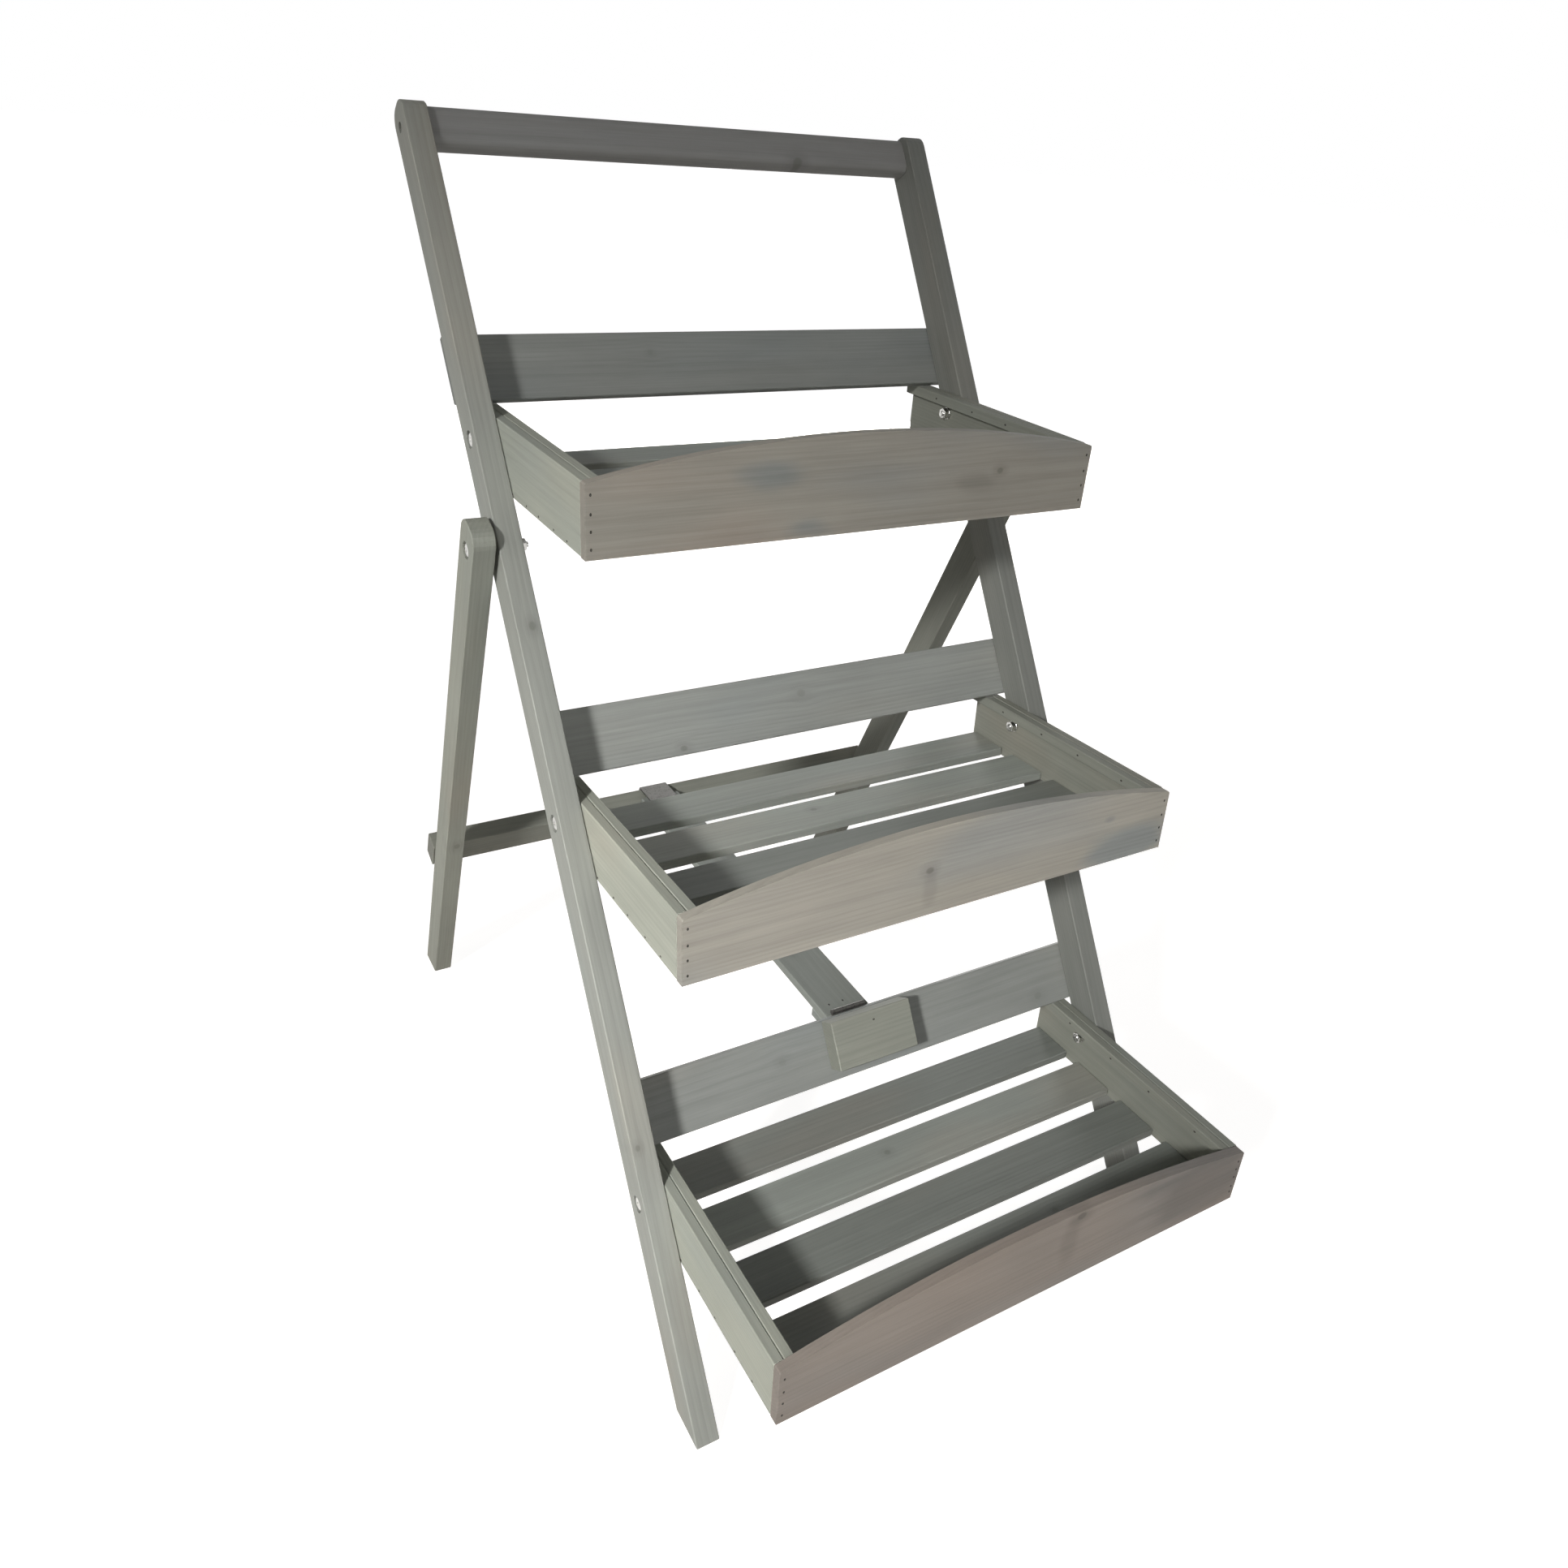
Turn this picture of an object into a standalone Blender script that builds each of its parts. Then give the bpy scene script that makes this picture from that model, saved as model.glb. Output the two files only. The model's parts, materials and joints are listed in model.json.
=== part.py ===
"""Three-tier folding plant stand of grey stained softwood.

Two stiles lean back and carry a top rail and three back boards. Three slatted trays hang on bolts between
the stiles, and each rests against the lower edge of its back board until its front is folded up. Two rear
legs with a crossbar fold forward on bolts, and a hinged stay drops over the crossbar to hold them open.

Metres, +Z up, front towards -Y. The origin is on the floor, in the middle of the space that the stand fills.
"""

from math import asin, atan2, cos, hypot, pi, radians, sin, tan

import bmesh
import bpy
from mathutils import Vector

# Play left between two pieces that touch and round a shaft in its hole, how far a cutter runs past what it
# cuts, and how close two points of a turned shape are when they become one
TOUCH = 0.0003
RUNNING_FIT = 0.0001
OVERRUN = 0.002
MERGE_WITHIN = 0.00001

# Sawn edges are eased, and round pieces have this many sides
EDGE_EASE = 0.0008
ROUND_SIDES = 16

# Stiles
LEAN = radians(33.7)
FRAME_WIDE = 0.545
STILE_WIDE = 0.022
STILE_DEEP = 0.035
STILE_LONG = 1.181
HEAD_ROUND = 0.013
HEAD_STEPS = 5

# Top rail, between the stiles near their heads
RAIL_HIGH = 0.035
RAIL_THICK = 0.022
RAIL_ROUND = 0.008
RAIL_STEPS = 3
RAIL_BELOW_HEAD = 0.0015
RAIL_SET_BACK = 0.002
RAIL_SCREW_HOLE = 0.0045
RAIL_SCREW_RECESS = 0.009
RAIL_SCREW_SUNK = 0.004

# Back boards, on the stiles' rear faces. Each is nailed on a little to one side.
BOARD_HIGH = 0.060
BOARD_THICK = 0.009
BOARD_INSET = 0.003
BOARD_ASIDE = {"bottom": 0.0, "middle": 0.0, "top": -0.002}

# Trays: how far up the stile each bolt is, how much each tray's front is raised at rest, and the play between
# a tray's side and the stile
BOLT_UP = 0.2035
TIER_SPACING = 0.341
TIERS = ("bottom", "middle", "top")
TRAY_SLOPE = {"bottom": radians(2.0), "middle": radians(3.5), "top": radians(0.5)}
TRAY_PLAY = 0.0005
SIDE_HIGH = 0.060
SIDE_THICK = 0.009
SIDE_AHEAD = 0.205
SIDE_BEHIND = 0.066
BOLT_BELOW_RIM = 0.019
STRIP_THICK = 0.009
STRIP_HIGH = 0.0105
FRONT_THICK = 0.009
ARCH_RISE = 0.0245
ARCH_STEPS = 20
CORNER_ROUND = 0.0025
CORNER_STEPS = 3
SLAT_COUNT = 4
SLAT_WIDE = 0.048
SLAT_THICK = 0.009
SLAT_SPACING = 0.066
SLAT_FROM_REAR = 0.004

# Bolts, nuts and washers
BOLT_THICK = 0.006
BOLT_HEAD_WIDE = 0.013
BOLT_HEAD_HIGH = 0.0035
BOLT_HEAD_DOME = 0.001
BOLT_END = 0.0022
BOLT_END_CHAMFER = 0.0006
RECESS_WIDE = 0.016
RECESS_DEEP = 0.0045
NUT_ACROSS = 0.010
NUT_HIGH = 0.005
WASHER_WIDE = 0.0125
WASHER_THICK = 0.0014

# Rear legs and their crossbar
LEG_BOLT_UP = 0.790
LEG_BACK = radians(23.9)
LEG_WIDE = 0.0205
LEG_DEEP = 0.035
LEG_HEAD = 0.027
LEG_GAP = 0.0035
SPACER_WIDE = 0.018
CROSSBAR_DOWN = 0.4775
CROSSBAR_HIGH = 0.035
CROSSBAR_THICK = 0.022
CROSSBAR_BEYOND = 0.002

# Stay: a lath hinged behind the bottom board, with a pad at its head and a steel hook on its tail
# that drops over the crossbar
STAY_WIDE = 0.050
STAY_THICK = 0.009
STAY_ASIDE = -0.013
STAY_PAD_LONG = 0.026
STAY_PAD_THICK = 0.009
HOOK_WIDE = 0.036
HOOK_LONG = 0.050
HOOK_HIGH = 0.015
HOOK_THICK = 0.002

# Block on the front of the bottom board, which backs the hinge
BLOCK_WIDE = 0.0905
BLOCK_HIGH = 0.048
BLOCK_THICK = 0.020
BLOCK_ASIDE = -0.0055
BLOCK_BELOW_EDGE = 0.0005

# Butt hinge of the stay
HINGE_WIDE = 0.038
LEAF_THICK = 0.0012
LEAF_HIGH = 0.018
BARREL_THICK = 0.005
PIN_THICK = 0.0024
KNUCKLES = 3
KNUCKLE_GAP = 0.0004

# Derived places. Heights on the front frame are measured up along the stiles from the floor.
HALF_FRAME = FRAME_WIDE / 2
STILE_INSIDE = HALF_FRAME - STILE_WIDE
HALF_TRAY = STILE_INSIDE - TRAY_PLAY
SIDE_INSIDE = HALF_TRAY - SIDE_THICK
BOARD_FACE = STILE_DEEP / 2 + TOUCH
BOARD_BACK = BOARD_FACE + BOARD_THICK
LEG_INSIDE = HALF_FRAME + LEG_GAP
LEG_OUTSIDE = LEG_INSIDE + LEG_WIDE
CROSSBAR_FACE = LEG_DEEP / 2 + TOUCH
CROSSBAR_BACK = CROSSBAR_FACE + CROSSBAR_THICK
TRAY_DEPTH_AHEAD = SIDE_AHEAD + TOUCH + FRONT_THICK
TRAY_BOLT_UP = {tier: BOLT_UP + index * TIER_SPACING for index, tier in enumerate(TIERS)}
BARREL_RADIUS = BARREL_THICK / 2


def on_front_frame(back, up):
    """World distance back and height of a place on the leaning front frame, before the stand is centred."""
    return Vector((0, back * cos(LEAN) + up * sin(LEAN), up * cos(LEAN) - back * sin(LEAN)))


def on_rear_frame(back, down):
    """The same for a place on the rear frame, measured down the legs from their bolts."""
    away = Vector((0, back * cos(LEG_BACK), back * sin(LEG_BACK)))
    below = Vector((0, down * sin(LEG_BACK), -down * cos(LEG_BACK)))
    return on_front_frame(0, LEG_BOLT_UP) + away + below


def leg_foot_down(back):
    """How far down the leg the floor is, at a distance behind the leg's axis."""
    return (on_front_frame(0, LEG_BOLT_UP).z + back * sin(LEG_BACK)) / cos(LEG_BACK)


def board_bottom(tier):
    """Height of a board's lower edge, whose rear arris bears on the rim of its tray."""
    tilt = LEAN - TRAY_SLOPE[tier]
    return TRAY_BOLT_UP[tier] + (BOLT_BELOW_RIM + TOUCH + BOARD_BACK * sin(tilt)) / cos(tilt)


def stand_middle():
    """Distance back of the middle of the stand's depth."""
    front = on_front_frame(0, BOLT_UP).y - TRAY_DEPTH_AHEAD * cos(TRAY_SLOPE["bottom"])
    front -= (SIDE_HIGH - BOLT_BELOW_RIM) * sin(TRAY_SLOPE["bottom"])
    rear = on_rear_frame(LEG_DEEP / 2, leg_foot_down(LEG_DEEP / 2)).y
    return (front + rear) / 2


# The stay's hinge is just above the bottom board's top rear arris
HINGE_BACK = BOARD_BACK + TOUCH + LEAF_THICK + KNUCKLE_GAP / 2
HINGE_UP = board_bottom("bottom") + BOARD_HIGH + BARREL_RADIUS
STAY_TOP = -(BARREL_RADIUS + TOUCH)
STAY_UNDER = STAY_TOP - STAY_THICK
PAD_UNDER = STAY_UNDER - TOUCH - STAY_PAD_THICK


def stay_slope():
    """The stay's rise at rest, at which its hook bears on the crossbar's top rear arris."""
    reach = on_rear_frame(CROSSBAR_BACK, CROSSBAR_DOWN) - on_front_frame(HINGE_BACK, HINGE_UP)
    return atan2(reach.z, reach.y) - asin(STAY_TOP / hypot(reach.y, reach.z))


def crossbar_on_stay():
    """Distance along the stay from its hinge to the crossbar's top rear arris."""
    reach = on_rear_frame(CROSSBAR_BACK, CROSSBAR_DOWN) - on_front_frame(HINGE_BACK, HINGE_UP)
    return reach.y * cos(stay_slope()) + reach.z * sin(stay_slope())


def clear_scene():
    """Removes what a new file starts with."""
    for old in list(bpy.data.objects):
        bpy.data.objects.remove(old, do_unlink=True)


def add_collection(name):
    """A new collection in the scene."""
    group = bpy.data.collections.new(name)
    bpy.context.scene.collection.children.link(group)
    return group


def make_material(name, colour, roughness, metallic=0.0):
    """A Principled material with a plain colour."""
    material = bpy.data.materials.new(name)
    material.use_nodes = True
    shader = material.node_tree.nodes["Principled BSDF"]
    shader.inputs["Base Color"].default_value = (*colour, 1.0)
    shader.inputs["Roughness"].default_value = roughness
    shader.inputs["Metallic"].default_value = metallic
    material.diffuse_color = (*colour, 1.0)
    return material


def add_frame(name, parent, location, turn):
    """An empty that pieces hang on, turned about X."""
    frame = bpy.data.objects.new(name, None)
    frame.parent = parent
    frame.location = location
    frame.rotation_euler.x = turn
    PIECES.objects.link(frame)
    return frame


def add_piece(name, mesh, parent, location, material):
    """An object of the stand, placed in its parent's frame."""
    piece = bpy.data.objects.new(name, mesh)
    piece.parent = parent
    piece.location = location
    if material is not None and not mesh.materials:
        mesh.materials.append(material)
    PIECES.objects.link(piece)
    return piece


def finished_mesh(name, shape):
    """The mesh of a bmesh, which is freed."""
    mesh = bpy.data.meshes.new(name)
    shape.to_mesh(mesh)
    shape.free()
    return mesh


def shade_round(mesh):
    """Shades a mesh smooth, apart from its sharp edges."""
    mesh.shade_smooth()
    mesh.set_sharp_from_angle(angle=radians(35))
    return mesh


def hide_as_cutter(cutter):
    """Moves a helper to the cutters, where it is neither drawn nor rendered."""
    PIECES.objects.unlink(cutter)
    CUTTERS.objects.link(cutter)
    cutter.hide_render = True
    cutter.display_type = "WIRE"
    return cutter


def ease_edges(piece, width=EDGE_EASE):
    """Takes the sharpness off a sawn piece's arrises."""
    bevel = piece.modifiers.new("eased edges", "BEVEL")
    bevel.width = width
    bevel.segments = 1
    bevel.limit_method = "ANGLE"
    bevel.angle_limit = radians(40)
    return piece


def cut(piece, cutter):
    """Cuts the shape of a hidden helper out of a piece."""
    boolean = piece.modifiers.new("cut by " + cutter.name, "BOOLEAN")
    boolean.operation = "DIFFERENCE"
    boolean.object = cutter
    return piece


def join(piece, helper):
    """Joins the shape of a hidden helper to a piece."""
    boolean = piece.modifiers.new("joined with " + helper.name, "BOOLEAN")
    boolean.operation = "UNION"
    boolean.object = helper
    return piece


def box_mesh(name, low, high):
    """A box between two corners, as a mesh about its own middle, and that middle."""
    low, high = Vector(low), Vector(high)
    shape = bmesh.new()
    bmesh.ops.create_cube(shape, size=1)
    bmesh.ops.scale(shape, vec=high - low, verts=shape.verts)
    return finished_mesh(name, shape), (low + high) / 2


def plank(name, low, high, parent, material):
    """A squared piece of wood between two corners in its parent's frame."""
    mesh, middle = box_mesh(name, low, high)
    return ease_edges(add_piece(name, mesh, parent, middle, material))


def rod_mesh(name, radius, low, high, sides=ROUND_SIDES):
    """A straight rod along Z between two heights."""
    shape = bmesh.new()
    bmesh.ops.create_cone(
        shape, cap_ends=True, segments=sides, radius1=radius, radius2=radius, depth=high - low
    )
    bmesh.ops.translate(shape, vec=(0, 0, (low + high) / 2), verts=shape.verts)
    return shade_round(finished_mesh(name, shape))


def turned_mesh(name, profile):
    """A turned shape about Z, from (radius, height) pairs that run down its outer side."""
    shape = bmesh.new()
    points = [shape.verts.new((radius, 0, height)) for radius, height in profile]
    for first, second in zip(points, points[1:]):
        shape.edges.new((first, second))
    helper = bpy.data.objects.new(name, finished_mesh(name, shape))
    PIECES.objects.link(helper)
    screw = helper.modifiers.new("turned", "SCREW")
    screw.steps = screw.render_steps = ROUND_SIDES
    screw.use_merge_vertices = True
    screw.merge_threshold = MERGE_WITHIN
    return baked_mesh(helper)


def baked_mesh(helper):
    """The mesh of a helper with its modifiers applied. The helper is removed."""
    bpy.context.view_layer.update()
    graph = bpy.context.evaluated_depsgraph_get()
    mesh = bpy.data.meshes.new_from_object(helper.evaluated_get(graph))
    mesh.name = helper.name
    bpy.data.objects.remove(helper, do_unlink=True)
    return shade_round(mesh)


def turn_outward(piece, side):
    """Turns a piece made along Z so that its top faces out on the left or the right."""
    piece.rotation_euler.y = side * pi / 2
    return piece


def drill(piece, name, profile, side, back, up):
    """Drills a turned hole into a piece from its outer side, in the frame of its parent."""
    cutter = add_piece(name, turned_mesh(name, profile), piece.parent, (0, back, up), None)
    return cut(piece, hide_as_cutter(turn_outward(cutter, side)))


def bore_radius(shaft_thick):
    """Radius of a hole whose flats clear a round shaft that turns in it."""
    return (shaft_thick / 2 + RUNNING_FIT) / cos(pi / ROUND_SIDES)


def bolt_hole(inside, outside):
    """Profile of a plain bolt hole between two distances from the middle of the stand."""
    radius = bore_radius(BOLT_THICK)
    low, high = inside - OVERRUN, outside + OVERRUN
    return ((0, high), (radius, high), (radius, low), (0, low))


def sunk_hole(inside, outside, radius, recess, deep):
    """Profile of a hole with a wider recess for a head in its outer face."""
    low, high, seat = inside - OVERRUN, outside + OVERRUN, outside - deep
    return ((0, high), (recess / 2, high), (recess / 2, seat), (radius, seat), (radius, low), (0, low))


def post(name, side, inside, wide, deep, top, foot, parent, material):
    """An upright with a rounded head, whose foot is cut level with the floor.

    foot gives the height of that cut at a distance behind the post's axis.
    """
    shape = bmesh.new()
    bmesh.ops.create_cube(shape, size=1)
    head = [
        edge
        for edge in shape.edges
        if all(point.co.z > 0 for point in edge.verts) and edge.verts[0].co.y == edge.verts[1].co.y
    ]
    for point in shape.verts:
        point.co.z = top if point.co.z > 0 else foot(point.co.y * deep)
        point.co.x *= wide
        point.co.y *= deep
    bmesh.ops.bevel(shape, geom=head, offset=HEAD_ROUND, segments=HEAD_STEPS, profile=0.5, affect="EDGES")
    place = (side * (inside + wide / 2), 0, 0)
    return ease_edges(add_piece(name, finished_mesh(name, shape), parent, place, material))


def stile(side_name, side):
    """One of the two leaning stiles, drilled for the bolts and for the rail's screw."""
    name = side_name + "_stile"
    piece = post(
        name, side, STILE_INSIDE, STILE_WIDE, STILE_DEEP, STILE_LONG,
        lambda back: back * tan(LEAN), FRONT_FRAME, WOOD["stile"],
    )
    tray_hole = sunk_hole(STILE_INSIDE, HALF_FRAME, bore_radius(BOLT_THICK), RECESS_WIDE, RECESS_DEEP)
    for tier in TIERS:
        drill(piece, f"{name}_{tier}_hole", tray_hole, side, 0, TRAY_BOLT_UP[tier])
    drill(piece, name + "_leg_hole", bolt_hole(STILE_INSIDE, HALF_FRAME), side, 0, LEG_BOLT_UP)
    screw_hole = sunk_hole(
        STILE_INSIDE, HALF_FRAME, RAIL_SCREW_HOLE / 2, RAIL_SCREW_RECESS, RAIL_SCREW_SUNK
    )
    drill(piece, name + "_screw_hole", screw_hole, side, RAIL_SET_BACK, rail_middle_up())
    return piece


def rail_middle_up():
    """Height of the middle of the top rail."""
    return STILE_LONG - RAIL_BELOW_HEAD - RAIL_HIGH / 2


def top_rail():
    """The rail between the stiles' heads, with well rounded long edges."""
    half = Vector((STILE_INSIDE - TOUCH, RAIL_THICK / 2, RAIL_HIGH / 2))
    shape = bmesh.new()
    bmesh.ops.create_cube(shape, size=1)
    bmesh.ops.scale(shape, vec=2 * half, verts=shape.verts)
    along = [edge for edge in shape.edges if edge.verts[0].co.x != edge.verts[1].co.x]
    bmesh.ops.bevel(shape, geom=along, offset=RAIL_ROUND, segments=RAIL_STEPS, profile=0.5, affect="EDGES")
    mesh = shade_round(finished_mesh("top_rail", shape))
    return add_piece("top_rail", mesh, FRONT_FRAME, (0, RAIL_SET_BACK, rail_middle_up()), WOOD["rail"])


def back_board(tier):
    """A board across the stiles' rear faces, which stops the tray of its tier."""
    half_long = HALF_FRAME - BOARD_INSET
    aside = BOARD_ASIDE[tier]
    low = board_bottom(tier)
    return plank(
        tier + "_back_board",
        (aside - half_long, BOARD_FACE, low),
        (aside + half_long, BOARD_BACK, low + BOARD_HIGH),
        FRONT_FRAME,
        WOOD["board"],
    )


def tray_front(tier, frame):
    """The arched board across a tray's front, as a flat outline with thickness."""
    low = BOLT_BELOW_RIM - SIDE_HIGH
    arch_half = HALF_TRAY - CORNER_ROUND
    radius = (arch_half**2 + ARCH_RISE**2) / (2 * ARCH_RISE)
    centre = BOLT_BELOW_RIM + ARCH_RISE - radius
    spread = asin(arch_half / radius)
    corner = []
    for step in range(CORNER_STEPS):
        angle = step / CORNER_STEPS * pi / 2
        across = arch_half + CORNER_ROUND * cos(angle)
        corner.append((across, BOLT_BELOW_RIM - CORNER_ROUND * (1 - sin(angle))))
    outline = [(-HALF_TRAY, low), (HALF_TRAY, low), *corner]
    for step in range(ARCH_STEPS + 1):
        angle = spread * (1 - 2 * step / ARCH_STEPS)
        outline.append((radius * sin(angle), centre + radius * cos(angle)))
    outline += [(-across, up) for across, up in reversed(corner)]

    name = tier + "_tray_front"
    curve = bpy.data.curves.new(name, "CURVE")
    curve.dimensions = "2D"
    curve.fill_mode = "BOTH"
    curve.extrude = FRONT_THICK / 2
    spline = curve.splines.new("POLY")
    spline.points.add(len(outline) - 1)
    spline.use_cyclic_u = True
    for point, (across, up) in zip(spline.points, outline):
        point.co = (across, up, 0, 1)
    curve.materials.append(WOOD["front"])
    piece = bpy.data.objects.new(name, curve)
    piece.parent = frame
    piece.location = (0, -(SIDE_AHEAD + TOUCH + FRONT_THICK / 2), 0)
    piece.rotation_euler.x = pi / 2
    PIECES.objects.link(piece)
    return piece


def tray_side(tier, side_name, side, frame):
    """A tray's side board, drilled for the bolt that it turns on, and the strip inside its rim."""
    name = f"{tier}_tray_{side_name}"
    low, high = sorted((side * SIDE_INSIDE, side * HALF_TRAY))
    board = plank(
        name + "_side",
        (low, -SIDE_AHEAD, BOLT_BELOW_RIM - SIDE_HIGH),
        (high, SIDE_BEHIND, BOLT_BELOW_RIM),
        frame,
        WOOD["side"],
    )
    drill(board, name + "_side_hole", bolt_hole(SIDE_INSIDE, HALF_TRAY), side, 0, 0)
    strip_outside = SIDE_INSIDE - TOUCH
    low, high = sorted((side * (strip_outside - STRIP_THICK), side * strip_outside))
    plank(
        name + "_strip",
        (low, -SIDE_AHEAD, BOLT_BELOW_RIM - STRIP_HIGH),
        (high, SIDE_BEHIND, BOLT_BELOW_RIM),
        frame,
        WOOD["side"],
    )


def tray_slats(tier, frame):
    """The slats of a tray's floor, between its sides and level with their lower edges."""
    low = BOLT_BELOW_RIM - SIDE_HIGH
    for index in range(SLAT_COUNT):
        rear = SIDE_BEHIND - SLAT_FROM_REAR - index * SLAT_SPACING
        plank(
            f"{tier}_tray_slat_{index + 1}",
            (TOUCH - SIDE_INSIDE, rear - SLAT_WIDE, low),
            (SIDE_INSIDE - TOUCH, rear, low + SLAT_THICK),
            frame,
            WOOD["slat"],
        )


def bolt_mesh(name, tip, seat):
    """A bolt along Z, from its threaded end to its low domed head, by distances from the stand's middle."""
    head, shank = BOLT_HEAD_WIDE / 2, BOLT_THICK / 2
    top = seat + BOLT_HEAD_HIGH
    return turned_mesh(
        name,
        (
            (0, top),
            (head - BOLT_HEAD_DOME, top),
            (head, top - BOLT_HEAD_DOME),
            (head, seat),
            (shank, seat),
            (shank, tip + BOLT_END_CHAMFER),
            (shank - BOLT_END_CHAMFER, tip),
            (0, tip),
        ),
    )


def helper_rod(name, radius, low, high):
    """A hidden rod along Z, to join to a mesh or to cut out of it."""
    return hide_as_cutter(add_piece(name, rod_mesh(name, radius, low, high), None, (0, 0, 0), None))


def nut_mesh(name):
    """A hexagon nut on its washer, bored for the bolt. The washer's face is at zero, and the nut is below."""
    low = -(WASHER_THICK + NUT_HIGH)
    hexagon = rod_mesh(name, NUT_ACROSS / 2 / cos(pi / 6), low, -WASHER_THICK / 2, 6)
    nut = add_piece(name, hexagon, None, (0, 0, 0), None)
    washer = helper_rod("washer_shape", WASHER_WIDE / 2, -WASHER_THICK, 0)
    bore = helper_rod("nut_bore", bore_radius(BOLT_THICK), low - OVERRUN, OVERRUN)
    mesh = baked_mesh(cut(join(nut, washer), bore))
    for helper in (washer, bore):
        bpy.data.objects.remove(helper, do_unlink=True)
    return mesh


def fasten(name, side, up, bolt, nut, nut_face):
    """A bolt and its nut through the front frame, at a height on the stiles."""
    for part, mesh, along in (("bolt", bolt, 0), ("nut", nut, nut_face)):
        piece = add_piece(f"{name}_{part}", mesh, FRONT_FRAME, (side * along, 0, up), METAL["zinc"])
        turn_outward(piece, side)


def rear_leg(side_name, side):
    """A rear leg, which folds on its bolt outside the stile, and the spacer between the two."""
    name = side_name + "_rear_leg"
    piece = post(
        name, side, LEG_INSIDE, LEG_WIDE, LEG_DEEP, LEG_HEAD,
        lambda back: -leg_foot_down(back), REAR_FRAME, WOOD["leg"],
    )
    hole = sunk_hole(LEG_INSIDE, LEG_OUTSIDE, bore_radius(BOLT_THICK), RECESS_WIDE, RECESS_DEEP)
    drill(piece, name + "_hole", hole, side, 0, 0)
    spacer_name = side_name + "_leg_spacer"
    low, high = HALF_FRAME + TOUCH, LEG_INSIDE - TOUCH
    mesh = rod_mesh(spacer_name, SPACER_WIDE / 2, low, high)
    spacer = add_piece(spacer_name, mesh, FRONT_FRAME, (0, 0, LEG_BOLT_UP), METAL["zinc"])
    turn_outward(spacer, side)
    drill(spacer, spacer_name + "_hole", bolt_hole(low, high), side, 0, LEG_BOLT_UP)


def rear_crossbar():
    """The bar across the rear faces of the legs."""
    half_long = LEG_OUTSIDE + CROSSBAR_BEYOND
    return plank(
        "rear_crossbar",
        (-half_long, CROSSBAR_FACE, -CROSSBAR_DOWN - CROSSBAR_HIGH),
        (half_long, CROSSBAR_BACK, -CROSSBAR_DOWN),
        REAR_FRAME,
        WOOD["leg"],
    )


def slant_front(piece):
    """Slants the front end of a piece of the stay, parallel with the bottom board's rear face."""
    tilt = LEAN + stay_slope()
    offset = KNUCKLE_GAP / 2 + LEAF_THICK + TOUCH
    for point in piece.data.vertices:
        if point.co.y < 0:
            up = piece.location.z + point.co.z
            point.co.y = (offset + up * sin(tilt)) / cos(tilt) - piece.location.y
    return piece


def stay():
    """The lath that holds the rear legs open, with a pad under its head."""
    left, right = STAY_ASIDE - STAY_WIDE / 2, STAY_ASIDE + STAY_WIDE / 2
    tail = crossbar_on_stay() - CROSSBAR_THICK * cos(LEG_BACK - stay_slope()) - TOUCH
    lath = plank("stay", (left, 0, STAY_UNDER), (right, tail, STAY_TOP), STAY_FRAME, WOOD["slat"])
    slant_front(lath)
    pad_end = (right, STAY_PAD_LONG, STAY_UNDER - TOUCH)
    pad = plank("stay_pad", (left, 0, PAD_UNDER), pad_end, STAY_FRAME, WOOD["slat"])
    slant_front(pad)


def stay_hook():
    """The steel plate on the stay's tail, whose end is bent down behind the crossbar."""
    under = STAY_TOP + TOUCH
    top = under + HOOK_THICK
    low = under - HOOK_HIGH
    tilt = LEG_BACK - stay_slope()
    thick = HOOK_THICK / cos(tilt)

    def behind_bar(up):
        return crossbar_on_stay() + TOUCH + (STAY_TOP - up) * tan(tilt)

    front = crossbar_on_stay() - HOOK_LONG
    outline = (
        (front, top),
        (behind_bar(top) + thick, top),
        (behind_bar(low) + thick, low),
        (behind_bar(low), low),
        (behind_bar(under), under),
        (front, under),
    )
    shape = bmesh.new()
    left, right = (
        [shape.verts.new((across, back, up)) for back, up in outline]
        for across in (-HOOK_WIDE / 2, HOOK_WIDE / 2)
    )
    shape.faces.new(left)
    shape.faces.new(right)
    for index in range(len(outline)):
        shape.faces.new((left[index - 1], left[index], right[index], right[index - 1]))
    bmesh.ops.recalc_face_normals(shape, faces=shape.faces)
    return add_piece(
        "stay_hook", finished_mesh("stay_hook", shape), STAY_FRAME, (STAY_ASIDE, 0, 0), METAL["hinge"]
    )


def stay_block():
    """The block on the front of the bottom board, in front of the hinge."""
    top = board_bottom("bottom") + BOARD_HIGH - BLOCK_BELOW_EDGE
    face = BOARD_FACE - TOUCH
    return plank(
        "stay_block",
        (BLOCK_ASIDE - BLOCK_WIDE / 2, face - BLOCK_THICK, top - BLOCK_HIGH),
        (BLOCK_ASIDE + BLOCK_WIDE / 2, face, top),
        FRONT_FRAME,
        WOOD["front"],
    )


def knuckle_span(index):
    """Where a knuckle of the hinge starts and ends, from its left end."""
    each = HINGE_WIDE / KNUCKLES
    start = STAY_ASIDE - HINGE_WIDE / 2 + index * each
    return start + KNUCKLE_GAP / 2, start + each - KNUCKLE_GAP / 2


def hinge_rod(name, frame, axis, radius, start, end):
    """A hidden rod on the hinge's axis, for a knuckle, the pin or the pin's bore."""
    rod = add_piece(name, rod_mesh(name, radius, start, end), frame, (0, *axis), None)
    return hide_as_cutter(turn_outward(rod, 1))


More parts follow.
